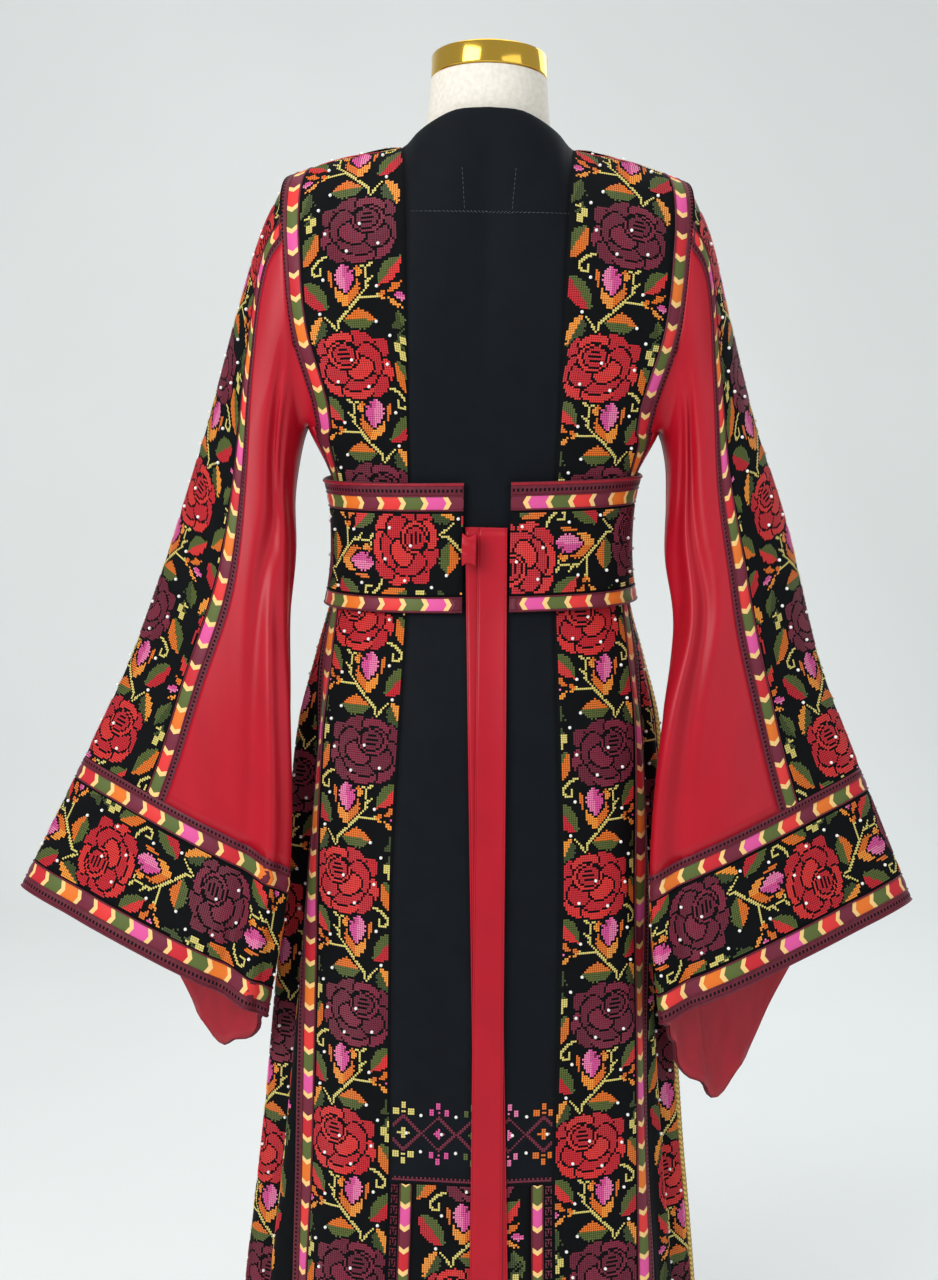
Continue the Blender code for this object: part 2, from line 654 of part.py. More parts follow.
def build_form(linen, gold, steel):
    """The limbless dress form: padded body, neck cap, pole and round base."""
    mesh = bmesh.new()
    loops = []
    for row in BODIES:
        loop = []
        for step in range(BODY_SIDES):
            angle = 2.0 * math.pi * step / BODY_SIDES
            depth = row.front if math.sin(angle) > 0.0 else row.back
            x = math.copysign(abs(math.cos(angle)) ** (2.0 / row.power), math.cos(angle)) * row.half_width
            y = math.copysign(abs(math.sin(angle)) ** (2.0 / row.power), math.sin(angle)) * depth
            loop.append(mesh.verts.new((x, y, row.height)))
        if loops:
            for step in range(BODY_SIDES):
                after = (step + 1) % BODY_SIDES
                mesh.faces.new((loops[-1][step], loops[-1][after], loop[after], loop[step]))
        loops.append(loop)
    mesh.faces.new(loops[0][::-1])
    mesh.faces.new(loops[-1])
    tilt_neck(loops[-1])
    bmesh.ops.recalc_face_normals(mesh, faces=mesh.faces)
    place_mesh("form_body", mesh, linen)

    cap = turned(CAP_RADIUS, CAP_HEIGHT, CAP_BEVEL)
    lean = Matrix.Rotation(-CAP_TILT, 4, "X")
    cap.transform(Matrix.Translation((0.0, 0.0, BODIES[-1].height + CAP_GAP)) @ lean)
    place_mesh("form_neck_cap", cap, gold)

    pole_top = BODIES[0].height - SEAM
    pole_foot = BASE_HEIGHT + SEAM
    pole = turned(POLE_RADIUS, pole_top - pole_foot, 0.0)
    pole.transform(Matrix.Translation((0.0, 0.0, between(pole_foot, pole_top, 0.5))))
    place_mesh("form_pole", pole, steel)

    base = turned(BASE_RADIUS, BASE_HEIGHT, BASE_BEVEL)
    base.transform(Matrix.Translation((0.0, 0.0, BASE_HEIGHT / 2.0)))
    place_mesh("form_base", base, steel)


def tilt_neck(loop):
    """Leans the top face of the neck forwards, as the cap that sits on it."""
    for corner in loop:
        corner.co.z += -corner.co.y * math.tan(CAP_TILT)


def turned(radius, height, bevel):
    """A round plate or rod about Z, centred on the origin, with its rims rounded by bevel."""
    mesh = bmesh.new()
    bmesh.ops.create_cone(
        mesh, cap_ends=True, segments=ROUND_SIDES, radius1=radius, radius2=radius, depth=height
    )
    if bevel:
        rims = [edge for edge in mesh.edges if abs(edge.verts[0].co.z - edge.verts[1].co.z) < TINY]
        bmesh.ops.bevel(mesh, geom=rims, offset=bevel, affect="EDGES", segments=2, profile=0.5, material=-1)
    return mesh


def main():
    clear_scene()
    black = material("black_crepe", (0.012, 0.016, 0.020), 0.75)
    rose = material("rose_embroidery", (0.16, 0.03, 0.035), 0.80)
    border = material("striped_border", (0.62, 0.22, 0.05), 0.60)
    red = material("red_satin", (0.46, 0.010, 0.025), 0.38)
    gold_braid = material("gold_braid", (0.55, 0.36, 0.05), 0.50)
    embroidered = material("lower_panel_embroidery", (0.14, 0.03, 0.05), 0.80)
    linen = material("linen_cover", (0.84, 0.81, 0.74), 0.85)
    gold = material("polished_gold", (0.83, 0.60, 0.18), 0.15, 1.0)
    steel = material("painted_steel", (0.70, 0.69, 0.67), 0.45)

    build_form(linen, gold, steel)
    build_bodice(black, rose, border, red)
    build_skirt(black, rose, border, gold_braid, embroidered)
    for side in FRONT_DROP:
        build_sleeve(side, rose, border, red)
    build_belt(rose, border)
    build_sash(red)


main()
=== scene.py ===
"""Looks of an embroidered thobe dress on a dress form.

The cloth follows the level lines (courses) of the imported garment. A Patch is one sewn piece, read by metres
across and down, and everything that is stitched on a piece is placed on its patch: cross stitch from charts,
satin stitch stripes, dots, braid and beads.
"""

import logging
import math
from dataclasses import dataclass, field
from enum import Enum, IntEnum
from typing import Iterable, NamedTuple, Sequence

import bmesh
import bpy
import numpy as np
from mathutils import Euler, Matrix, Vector


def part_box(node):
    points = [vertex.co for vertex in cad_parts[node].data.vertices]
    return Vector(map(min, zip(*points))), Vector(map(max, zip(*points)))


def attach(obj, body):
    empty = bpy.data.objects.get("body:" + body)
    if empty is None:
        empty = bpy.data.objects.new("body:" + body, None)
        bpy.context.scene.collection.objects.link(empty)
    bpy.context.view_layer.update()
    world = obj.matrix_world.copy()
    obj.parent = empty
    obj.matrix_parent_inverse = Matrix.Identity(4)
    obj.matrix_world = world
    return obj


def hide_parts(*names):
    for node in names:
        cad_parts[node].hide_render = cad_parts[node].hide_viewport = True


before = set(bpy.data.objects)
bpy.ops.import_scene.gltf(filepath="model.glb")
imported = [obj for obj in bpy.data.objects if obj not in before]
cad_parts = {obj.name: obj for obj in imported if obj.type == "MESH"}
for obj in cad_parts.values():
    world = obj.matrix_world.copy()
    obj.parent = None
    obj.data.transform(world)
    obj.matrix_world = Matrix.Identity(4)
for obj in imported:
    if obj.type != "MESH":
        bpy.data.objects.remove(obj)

Array = np.ndarray
LOG = logging.getLogger("thobe")
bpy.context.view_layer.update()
BODY_CORE = np.array([0.0, 0.0, 1.2])


# ---------------------------------------------------------------- sizes of the garment


class Girth(NamedTuple):
    """One level of the dress: oval, plain centre panels and rose bands, in metres."""

    height: float
    half_width: float
    back: float
    front: float
    power: float
    centre_back: float
    centre_front: float
    band: float


class Top(NamedTuple):
    """A place on the neckline and shoulder."""

    x: float
    back_z: float
    back_y: float
    front_z: float
    front_y: float


class Section(NamedTuple):
    """One section of a hanging sleeve, from its outer fold to its inner fold."""

    outer_x: float
    outer_y: float
    outer_z: float
    inner_x: float
    inner_y: float
    inner_z: float
    back: float
    front: float
    band: float
    right_in: float


class Crease(NamedTuple):
    """A soft trough (depth > 0) or ridge (depth < 0) along the cloth.

    side is 1 or -1, place and drift are shares of the half-girth, start and end are where it runs.
    """

    side: int
    place: float
    drift: float
    width: float
    depth: float
    start: float
    end: float


@dataclass(frozen=True)
class GarmentSizes:
    """Sizes that every piece of the dress is cut from, in metres."""

    armpit: float = 1.155
    waist: float = 1.040
    motif_seam: float = 0.432
    hem: float = 0.040
    neck_corner: float = 0.083
    shoulder_round: float = 2.6
    neck_round: float = 1.4
    border: float = 0.022
    braid: float = 0.012
    cloth: float = 0.0016
    girths: tuple[Girth, ...] = (
        Girth(1.450, 0.222, 0.092, 0.090, 3.0, 0.083, 0.083, 0.095),
        Girth(1.330, 0.218, 0.101, 0.105, 3.0, 0.080, 0.081, 0.092),
        Girth(1.240, 0.207, 0.105, 0.124, 2.8, 0.075, 0.078, 0.090),
        Girth(1.155, 0.175, 0.098, 0.126, 2.6, 0.071, 0.076, 0.088),
        Girth(1.100, 0.149, 0.092, 0.116, 2.5, 0.070, 0.075, 0.086),
        Girth(1.040, 0.143, 0.090, 0.106, 2.5, 0.070, 0.074, 0.085),
        Girth(0.985, 0.149, 0.096, 0.110, 2.4, 0.071, 0.075, 0.086),
        Girth(0.930, 0.166, 0.111, 0.120, 2.4, 0.073, 0.077, 0.087),
        Girth(0.860, 0.186, 0.128, 0.132, 2.3, 0.076, 0.080, 0.088),
        Girth(0.740, 0.197, 0.142, 0.144, 2.3, 0.081, 0.083, 0.088),
        Girth(0.600, 0.207, 0.155, 0.155, 2.3, 0.081, 0.084, 0.088),
        Girth(0.432, 0.221, 0.168, 0.166, 2.3, 0.080, 0.085, 0.089),
        Girth(0.320, 0.233, 0.180, 0.177, 2.3, 0.082, 0.087, 0.090),
        Girth(0.180, 0.247, 0.193, 0.190, 2.3, 0.084, 0.089, 0.091),
        Girth(0.040, 0.262, 0.206, 0.203, 2.3, 0.086, 0.091, 0.092),
    )
    tops: tuple[Top, ...] = (
        Top(0.000, 1.4580, -0.068, 1.372, 0.078),
        Top(0.030, 1.4560, -0.063, 1.377, 0.073),
        Top(0.050, 1.4480, -0.052, 1.390, 0.060),
        Top(0.067, 1.4375, -0.034, 1.406, 0.039),
        Top(0.083, 1.4250, 0.000, 1.425, 0.000),
        Top(0.140, 1.4140, 0.000, 1.414, 0.000),
        Top(0.191, 1.3970, 0.000, 1.397, 0.000),
    )
    armhole_turns: tuple[float, ...] = (1.0, 0.84, 0.66, 0.45, 0.18, 0.0)
    armhole_x: tuple[float, ...] = (0.190, 0.197, 0.199, 0.197, 0.187, 0.162)
    folds: tuple[Crease, ...] = (
        Crease(1, 0.375, 0.0, 0.014, 0.013, 0.985, 0.800),
        Crease(1, 0.455, 0.0, 0.017, 0.019, 0.985, 0.800),
        Crease(1, 0.555, 0.0, 0.015, 0.014, 0.985, 0.800),
        Crease(1, 0.640, 0.0, 0.016, 0.011, 0.985, 0.800),
        Crease(-1, 0.365, 0.0, 0.015, 0.015, 0.985, 0.800),
        Crease(-1, 0.470, 0.0, 0.016, 0.016, 0.985, 0.800),
        Crease(-1, 0.545, 0.0, 0.014, 0.018, 0.985, 0.800),
        Crease(-1, 0.650, 0.0, 0.017, 0.010, 0.985, 0.800),
    )
    creases: tuple[Crease, ...] = (
        Crease(1, 0.045, 0.030, 0.030, 0.0030, 0.960, 0.620),
        Crease(1, 0.190, -0.020, 0.022, 0.0035, 0.900, 0.450),
        Crease(1, 0.285, 0.018, 0.018, 0.0060, 0.960, 0.700),
        Crease(1, 0.245, 0.030, 0.020, -0.0040, 0.700, 0.300),
        Crease(1, 0.720, 0.020, 0.020, 0.0050, 0.930, 0.500),
        Crease(1, 0.860, -0.030, 0.028, 0.0040, 0.950, 0.400),
        Crease(-1, 0.090, -0.025, 0.034, 0.0025, 0.900, 0.500),
        Crease(-1, 0.210, 0.022, 0.020, 0.0040, 0.950, 0.560),
        Crease(-1, 0.300, -0.015, 0.017, 0.0065, 0.960, 0.640),
        Crease(-1, 0.255, -0.035, 0.024, -0.0045, 0.640, 0.260),
        Crease(-1, 0.740, 0.024, 0.022, 0.0045, 0.900, 0.460),
        Crease(-1, 0.880, 0.020, 0.030, 0.0035, 0.940, 0.350),
    )
    sections: tuple[Section, ...] = (
        Section(0.191, 0.000, 1.397, 0.175, 0.000, 1.155, 0.066, 0.070, 0.068, 0.000),
        Section(0.217, 0.000, 1.349, 0.182, -0.010, 1.118, 0.060, 0.062, 0.050, 0.000),
        Section(0.242, -0.002, 1.270, 0.185, -0.026, 1.080, 0.052, 0.054, 0.071, 0.003),
        Section(0.268, -0.006, 1.172, 0.182, -0.048, 1.032, 0.046, 0.048, 0.085, 0.002),
        Section(0.302, -0.012, 1.058, 0.184, -0.074, 0.966, 0.042, 0.044, 0.095, -0.003),
        Section(0.345, -0.018, 0.932, 0.180, -0.098, 0.876, 0.040, 0.042, 0.095, 0.006),
        Section(0.395, -0.024, 0.821, 0.181, -0.110, 0.731, 0.040, 0.044, 0.105, 0.011),
        Section(0.460, -0.032, 0.687, 0.203, -0.118, 0.583, 0.044, 0.050, 0.112, 0.019),
    )
    cuff_top: float = 6.0
    cuff_top_trim: float = 0.17
    cuff_hem_trim: float = 0.80
    front_drop_right: float = 0.130
    front_drop_left: float = 0.090
    front_from_right: float = 0.33
    front_from_left: float = 0.46
    back_lift: float = 0.25


SIZES = GarmentSizes()


def smooth_step(share: Array) -> Array:
    """A soft ramp from 0 to 1."""
    share = np.clip(share, 0.0, 1.0)
    return share * share * (3.0 - 2.0 * share)


def read_rows(table: Sequence[Sequence[float]], keys: Sequence[float], places: Array) -> Array:
    """Reads a table on smooth curves through its rows.

    Args:
        table: rows of numbers.
        keys: one place for each row.
        places: where to read.

    Returns:
        One row for each place.
    """
    order = np.argsort(keys)
    keys, rows = np.asarray(keys, float)[order], np.asarray(table, float)[order]
    count = len(keys)
    low, high = np.maximum(np.arange(count) - 1, 0), np.minimum(np.arange(count) + 1, count - 1)
    slopes = (rows[high] - rows[low]) / (keys[high] - keys[low])[:, None]
    places = np.clip(np.atleast_1d(places), keys[0], keys[-1])
    upper = np.clip(np.searchsorted(keys, places), 1, count - 1)
    step = (keys[upper] - keys[upper - 1])[:, None]
    share = (places - keys[upper - 1])[:, None] / step
    start, end = rows[upper - 1], rows[upper]
    lift = share * share * (3.0 - 2.0 * share)
    leave = share * (1.0 - share) ** 2 * step * slopes[upper - 1]
    arrive = share * share * (share - 1.0) * step * slopes[upper]
    return start + (end - start) * lift + leave + arrive


def lengths_along(points: Array) -> Array:
    """Length from the first point to each point, for rows of points."""
    steps = np.linalg.norm(np.diff(points, axis=1), axis=2)
    return np.concatenate([np.zeros((len(points), 1)), np.cumsum(steps, axis=1)], axis=1)


def mirror_x(points: Array) -> Array:
    """The same points on the other side of the body."""
    return points * np.array([-1.0, 1.0, 1.0])


class Courses:
    """Level lines of the cloth, one under another, read by the length from their middle."""

    def __init__(self, right: Array, left: Array) -> None:
        """Keeps the lines of both sides, each an array of rows of points."""
        self.sides = {1: right, -1: left}
        self.lengths = {side: lengths_along(points) for side, points in self.sides.items()}

    def total(self, side: int = 1) -> Array:
        """Whole length of each line on a side."""
        return self.lengths[side][:, -1]

    def turned(self) -> "Courses":
        """The same lines, read from their far ends."""
        return Courses(self.sides[1][:, ::-1], self.sides[-1][:, ::-1])

    def under(self, other: "Courses") -> "Courses":
        """These lines with another set of lines above them."""
        return Courses(*(np.concatenate([other.sides[side], self.sides[side]]) for side in (1, -1)))

    def sample(self, start: Array, end: Array, columns: int) -> Array:
        """Points at even steps from start to end on every line.

        Args:
            start: length at which each line's first point lies.
            end: length at which its last point lies.
            columns: points on a line.

        Returns:
            Rows of points.
        """
        shares = np.linspace(0.0, 1.0, columns)
        spots = start[:, None] + (end - start)[:, None] * shares[None, :]
        found = np.empty((len(spots), columns, 3))
        for row, spot in enumerate(spots):
            for side in (1, -1):
                chosen = spot >= 0.0 if side > 0 else spot < 0.0
                for axis in range(3):
                    line = self.sides[side][row, :, axis]
                    found[row, chosen, axis] = np.interp(np.abs(spot[chosen]), self.lengths[side][row], line)
        return found


def pressed(points: Array, places: Array, side: int, creases: Iterable[Crease], inwards: Array) -> Array:
    """Presses creases into rows of points.

    Args:
        points: rows of points, from one end of the girth to the other.
        places: the level of each row, falling from a crease's start to its end.
        side: the side of the body that they are on.
        creases: the troughs and ridges.
        inwards: the direction of a trough at every point.

    Returns:
        The creased rows.
    """
    length = lengths_along(points)
    share = length / length[:, -1:]
    moved = points.copy()
    for crease in creases:
        if crease.side != side:
            continue
        run = (places - crease.start) / (crease.end - crease.start)
        centre = crease.place + crease.drift * np.clip(run, 0.0, 1.6)
        away = (share - centre[:, None]) * length[:, -1:] / crease.width
        depth = crease.depth * smooth_step(run)[:, None] * np.exp(-(away**2))
        moved += inwards * depth[..., None]
    return moved


def level_courses(heights: Array, samples: int = 240) -> Courses:
    """The whole half-girths of the dress at heights below the armpit, from centre back to centre front."""
    girth = read_rows(SIZES.girths, [row.height for row in SIZES.girths], heights)
    half_width, back, front, power = (girth[:, i, None] for i in (1, 2, 3, 4))
    angle = np.linspace(0.0, math.pi, samples)[None, :]
    depth = np.where(angle <= math.pi / 2, back, front)
    x = half_width * np.sin(angle) ** (2.0 / power)
    y = -np.sign(np.cos(angle)) * np.abs(np.cos(angle)) ** (2.0 / power) * depth
    x[:, -1] = 0.0
    z = np.broadcast_to(np.asarray(heights)[:, None], x.shape)
    right = np.stack([x, y, z], axis=2)
    sides = []
    for side, points in ((1, right), (-1, mirror_x(right))):
        inwards = -points * np.array([1.0, 1.0, 0.0])
        inwards /= np.linalg.norm(inwards, axis=2, keepdims=True)
        folded = pressed(points, np.asarray(heights), side, SIZES.folds, inwards)
        sides.append(pressed(folded, np.asarray(heights), side, SIZES.creases, inwards))
    return Courses(*sides)


def raised_points(x: Array, turn: Array, face: int) -> Array:
    """Points of the back (face -1) or the chest (face 1) above the armpit, up to the top edge at turn 1."""
    tops = read_rows(SIZES.tops, [row.x for row in SIZES.tops], x.ravel()).reshape(*x.shape, -1)
    top_z, top_y = (tops[..., 1], tops[..., 2]) if face < 0 else (tops[..., 3], tops[..., 4])
    top_y = np.where(x >= SIZES.neck_corner, 0.0, top_y)
    mix = np.minimum(x / SIZES.neck_corner, 1.0)
    square = SIZES.neck_round + (SIZES.shoulder_round - SIZES.neck_round) * mix
    angle = turn * math.pi / 2
    z = SIZES.armpit + (top_z - SIZES.armpit) * np.sin(angle) ** (2.0 / square)
    girth = read_rows(SIZES.girths, [row.height for row in SIZES.girths], z.ravel()).reshape(*z.shape, -1)
    depth = girth[..., 2] if face < 0 else girth[..., 3]
    share = np.minimum(x / girth[..., 1], 1.0)
    level_y = face * depth * np.maximum(1.0 - share ** girth[..., 4], 0.0) ** (1.0 / girth[..., 4])
    y = top_y + (level_y - top_y) * np.maximum(np.cos(angle), 0.0) ** (2.0 / square)
    return np.stack([x, y, z], axis=-1)


def armhole_x(turns: Array) -> Array:
    """Half-width of the armhole at turns of the raised lines."""
    return read_rows([[x] for x in SIZES.armhole_x], SIZES.armhole_turns, turns)[:, 0]


def raised_courses(turns: Array, face: int, samples: int = 240) -> Courses:
    """Lines across the back or the chest above the armpit, from the middle to the armhole."""
    x = armhole_x(turns)[:, None] * np.linspace(0.0, 1.0, samples)[None, :]
    right = raised_points(x, np.broadcast_to(turns[:, None], x.shape), face)
    return Courses(right, mirror_x(right))


class Side(Enum):
    """The wearer's two sides."""

    RIGHT = 1
    LEFT = -1

    @property
    def word(self) -> str:
        """The side's name in a node's name."""
        return self.name.lower()


SLEEVE_CREASES = (
    Crease(1, 0.285, 0.050, 0.011, 0.0075, 0.3, 2.2),
    Crease(1, 0.345, 0.060, 0.010, 0.0085, 0.5, 2.6),
    Crease(1, 0.410, 0.040, 0.012, 0.0070, 0.6, 3.0),
    Crease(1, 0.315, 0.050, 0.009, -0.0040, 0.4, 2.4),
    Crease(1, 0.300, 0.030, 0.030, 0.0065, 3.6, 5.6),
    Crease(1, 0.380, 0.030, 0.026, -0.0050, 4.0, 6.4),
    Crease(1, 0.090, 0.010, 0.030, 0.0040, 4.4, 6.6),
    Crease(1, 0.640, -0.050, 0.013, 0.0080, 0.4, 2.4),
    Crease(1, 0.710, -0.040, 0.012, 0.0060, 0.5, 2.8),
    Crease(1, 0.600, -0.030, 0.030, 0.0060, 3.8, 6.0),
    Crease(1, 0.700, 0.020, 0.032, -0.0050, 4.2, 6.6),
    Crease(-1, 0.275, 0.060, 0.012, 0.0080, 0.4, 2.0),
    Crease(-1, 0.335, 0.055, 0.010, 0.0070, 0.3, 2.8),
    Crease(-1, 0.400, 0.050, 0.011, 0.0085, 0.6, 2.6),
    Crease(-1, 0.305, 0.060, 0.009, -0.0045, 0.5, 2.2),
    Crease(-1, 0.290, 0.040, 0.032, 0.0060, 3.4, 5.4),
    Crease(-1, 0.390, 0.020, 0.024, -0.0055, 4.2, 6.2),
    Crease(-1, 0.080, 0.015, 0.028, 0.0045, 4.6, 6.6),
    Crease(-1, 0.630, -0.045, 0.012, 0.0075, 0.4, 2.6),
    Crease(-1, 0.720, -0.050, 0.013, 0.0065, 0.6, 2.6),
    Crease(-1, 0.610, -0.020, 0.028, 0.0065, 3.6, 5.8),
    Crease(-1, 0.690, 0.030, 0.030, -0.0045, 4.4, 6.8),
)


def sleeve_courses(places: Array, side: Side, samples: int = 240) -> Courses:
    """Closed lines round a sleeve, from its outer fold over the back to its inner fold and on.

    A positive length runs over the back, and a negative one over the front.
    """
    row = read_rows(SIZES.sections, range(len(SIZES.sections)), places)
    angle = np.linspace(0.0, 2.0 * math.pi, samples)[None, :]
    across = (1.0 - np.cos(angle)) / 2.0
    outer, inner = row[:, None, 0:3].copy(), row[:, None, 3:6].copy()
    if side is Side.RIGHT:
        outer[..., 0] -= row[:, 9, None]
        inner[..., 0] -= row[:, 9, None]
    points = outer + (inner - outer) * across[..., None]
    swell = np.abs(np.sin(angle)) ** 0.8
    in_front = angle > math.pi
    points[..., 1] += np.where(in_front, row[:, 7, None], -row[:, 6, None]) * swell
    full, start = SIZES.front_drop_left, SIZES.front_from_left
    if side is Side.RIGHT:
        full, start = SIZES.front_drop_right, SIZES.front_from_right
    low_down = smooth_step((places - 3.0) / (len(SIZES.sections) - 4.0))[:, None]
    lean = smooth_step((angle - math.pi) / 1.1) * smooth_step((across - start) / 0.45)
    raised = SIZES.back_lift * row[:, 6, None] * swell
    points[..., 2] += low_down * np.where(in_front, -full * lean, raised)
    blend = 1.0 - smooth_step(places / 0.5)
    points += (armhole_ring(samples) - points) * blend[:, None, None]
    middle = points.mean(axis=1, keepdims=True)
    inwards = (middle - points) * np.array([0.25, 1.0, 0.25])
    inwards /= np.linalg.norm(inwards, axis=2, keepdims=True)
    points = pressed(points, places, side.value, SLEEVE_CREASES, inwards)
    if side is Side.LEFT:
        points = mirror_x(points)
    return Courses(points, points[:, ::-1])


def armhole_ring(samples: int) -> Array:
    """The armhole's edge on the wearer's right: down the back, under the arm, and up the front."""
    turns = np.linspace(1.0, 0.0, 40)
    back, front = (raised_points(armhole_x(turns), turns, face) for face in (-1, 1))
    under = level_courses(np.array([SIZES.armpit]))
    line, length = under.sides[1], under.lengths[1][0]
    ends = [length[np.argmin(np.linalg.norm(line[0] - point, axis=1))] for point in (back[-1], front[-1])]
    beneath = under.sample(np.array([ends[0]]), np.array([ends[1]]), 24)[0]
    ring = np.concatenate([back, beneath[1:-1], front[::-1]])[None]
    lengths = lengths_along(ring)[0]
    spots = np.linspace(0.0, lengths[-1], samples)
    return np.stack([np.interp(spots, lengths, ring[0, :, axis]) for axis in range(3)], axis=1)[None]


class Patch:
    """One sewn piece of cloth: a fine grid of points, read by metres across and down."""

    def __init__(self, points: Array, inside: Array = BODY_CORE, facing: float = 0.0) -> None:
        """Works out the grid's normals and sizes.

        Args:
            points: rows of points, from the top of the piece to its bottom.
            inside: a point, or one for each row, that the piece faces away from.
            facing: 1 where across times down points outwards, -1 where it points inwards, 0 to work it out.
        """
        self.points = points
        along, down = np.gradient(points, axis=1), np.gradient(points, axis=0)
        normals = np.cross(along, down)
        normals /= np.maximum(np.linalg.norm(normals, axis=2, keepdims=True), 1e-12)
        self.facing = facing or (1.0 if float((normals * (points - inside)).sum()) > 0.0 else -1.0)
        self.normals = normals * self.facing
        self.widths = lengths_along(points)[:, -1]
        self.depths = lengths_along(points[:, points.shape[1] // 2][None])[0]

    @property
    def length(self) -> float:
        """Length down the middle."""
        return float(self.depths[-1])

    @property
    def area(self) -> float:
        """Area of the cloth."""
        corners = self.points[:-1, :-1], self.points[1:, 1:], self.points[:-1, 1:], self.points[1:, :-1]
        return float(
            np.linalg.norm(np.cross(corners[1] - corners[0], corners[3] - corners[2]), axis=2).sum() / 2.0
        )

    def turned(self) -> "Patch":
        """The same piece, read along its other direction."""
        return Patch(self.points.transpose(1, 0, 2), facing=-self.facing)

    def flipped(self) -> "Patch":
        """The same piece, read from its other end."""
        return Patch(self.points[::-1], facing=-self.facing)

    def rows(self, count: int) -> "Patch":
        """The first rows of the piece."""
        return Patch(self.points[:count], facing=self.facing)

    def strip(self, low: float, high: float) -> "Patch":
        """A part of the piece between two shares of its width."""
        columns = self.points.shape[1]
        spots = np.linspace(low, high, max(3, round(columns * (high - low)) + 1)) * (columns - 1)
        floor = np.clip(spots.astype(int), 0, columns - 2)
        share = (spots - floor)[None, :, None]
        points = self.points[:, floor] * (1.0 - share) + self.points[:, floor + 1] * share
        return Patch(points, facing=self.facing)

    def place(self, across: Array, down: Array, lift: Array) -> Array:
        """Points on the piece.

        Args:
            across: metres from the middle of the width.
            down: metres from the first row.
            lift: metres off the cloth.

        Returns:
            The points, in the shape of the inputs and 3.
        """
        rows, columns = self.points.shape[:2]
        row = np.interp(down, self.depths, np.arange(rows))
        width = np.interp(row, np.arange(rows), self.widths)
        column = np.clip((across / width + 0.5) * (columns - 1), 0.0, columns - 1.0)
        i, j = np.clip(row.astype(int), 0, rows - 2), np.clip(column.astype(int), 0, columns - 2)
        u, v = (column - j)[..., None], (row - i)[..., None]
        spots = []
        for grid in (self.points, self.normals):
            high = grid[i, j] * (1.0 - u) + grid[i, j + 1] * u
            low = grid[i + 1, j] * (1.0 - u) + grid[i + 1, j + 1] * u
            spots.append(high * (1.0 - v) + low * v)
        return spots[0] + spots[1] * np.asarray(lift)[..., None]

    def width_at(self, down: Array) -> Array:
        """Width of the piece at metres from the first row."""
        return np.interp(down, self.depths, self.widths)


# ---------------------------------------------------------------- finishes


def linear(code: str) -> tuple[float, float, float, float]:
    """A colour from its sRGB hex code, as linear numbers."""
    parts = [int(code[i : i + 2], 16) / 255.0 for i in (1, 3, 5)]
    return (*((c / 12.92 if c <= 0.04045 else ((c + 0.055) / 1.055) ** 2.4) for c in parts), 1.0)


def add_node(tree: bpy.types.NodeTree, kind: str, settings: dict, links: dict) -> bpy.types.Node:
    """Adds one node.

    Args:
        tree: the node tree.
        kind: the node's type name.
        settings: attributes, or input names with their values.
        links: input names with the output sockets that feed them.

    Returns:
        The node.
    """
    node = tree.nodes.new(kind)
    for name, value in settings.items():
        if hasattr(node, name) and name not in node.inputs:
            setattr(node, name, value)
        else:
            node.inputs[name].default_value = value
    for name, socket in links.items():
        tree.links.new(socket, node.inputs[name])
    return node


@dataclass(frozen=True)
class Finish:
    """A material: its name, colours and the socket values of its shader."""

    name: str
    color: str
    roughness: float = 0.7
    metallic: float = 0.0
    sheen: float = 0.0
    specular: float = 0.5
    coat: float = 0.0
    anisotropic: float = 0.0
    second: str = ""
    mottle_mm: float = 30.0
    thread_mm: float = 0.0
    across: float = 1.0
    bump: float = 0.3
    height_mm: float = 0.15

    def build(self) -> bpy.types.Material:
        """Makes the material: tone, weave and shader."""
        made = bpy.data.materials.new(self.name)
        made.use_nodes = True
        tree = made.node_tree
        shader = tree.nodes["Principled BSDF"]
        values = {
            "Base Color": linear(self.color),
            "Roughness": self.roughness,
            "Metallic": self.metallic,
            "Sheen Weight": self.sheen,
            "Sheen Roughness": 0.4,
            "Specular IOR Level": self.specular,
            "Coat Weight": self.coat,
            "Anisotropic": self.anisotropic,
        }
        for name, value in values.items():
            shader.inputs[name].default_value = value
        uv = add_node(tree, "ShaderNodeTexCoord", {}, {}).outputs["UV"]
        if self.second:
            spread = add_node(
                tree, "ShaderNodeTexNoise", {"Scale": 1000.0 / self.mottle_mm, "Detail": 3.0}, {"Vector": uv}
            )
            ramp = add_node(tree, "ShaderNodeValToRGB", {}, {"Fac": spread.outputs["Fac"]})
            ramp.color_ramp.elements[0].position, ramp.color_ramp.elements[1].position = 0.35, 0.65
            ramp.color_ramp.elements[0].color = linear(self.color)
            ramp.color_ramp.elements[1].color = linear(self.second)
            tree.links.new(ramp.outputs["Color"], shader.inputs["Base Color"])
        if self.thread_mm:
            self.weave(tree, shader, uv)
        return made

    def weave(self, tree: bpy.types.NodeTree, shader: bpy.types.Node, uv: bpy.types.NodeSocket) -> None:
        """Raises the warp and weft, as far apart as the real threads or as the finest that shows."""
        bands = []
        for direction, stretch in (("X", self.across), ("Y", 1.0)):
            scale = 100.0 * math.pi * stretch / self.thread_mm
            settings = {"wave_type": "BANDS", "bands_direction": direction, "Scale": scale, "Distortion": 0.6}
            bands.append(add_node(tree, "ShaderNodeTexWave", settings, {"Vector": uv}).outputs["Fac"])
        both = add_node(tree, "ShaderNodeMath", {"operation": "MAXIMUM"}, {0: bands[0], 1: bands[1]})
        bump = add_node(
            tree,
            "ShaderNodeBump",
            {"Strength": self.bump, "Distance": self.height_mm / 1000.0},
            {"Height": both.outputs[0]},
        )
        tree.links.new(bump.outputs["Normal"], shader.inputs["Normal"])


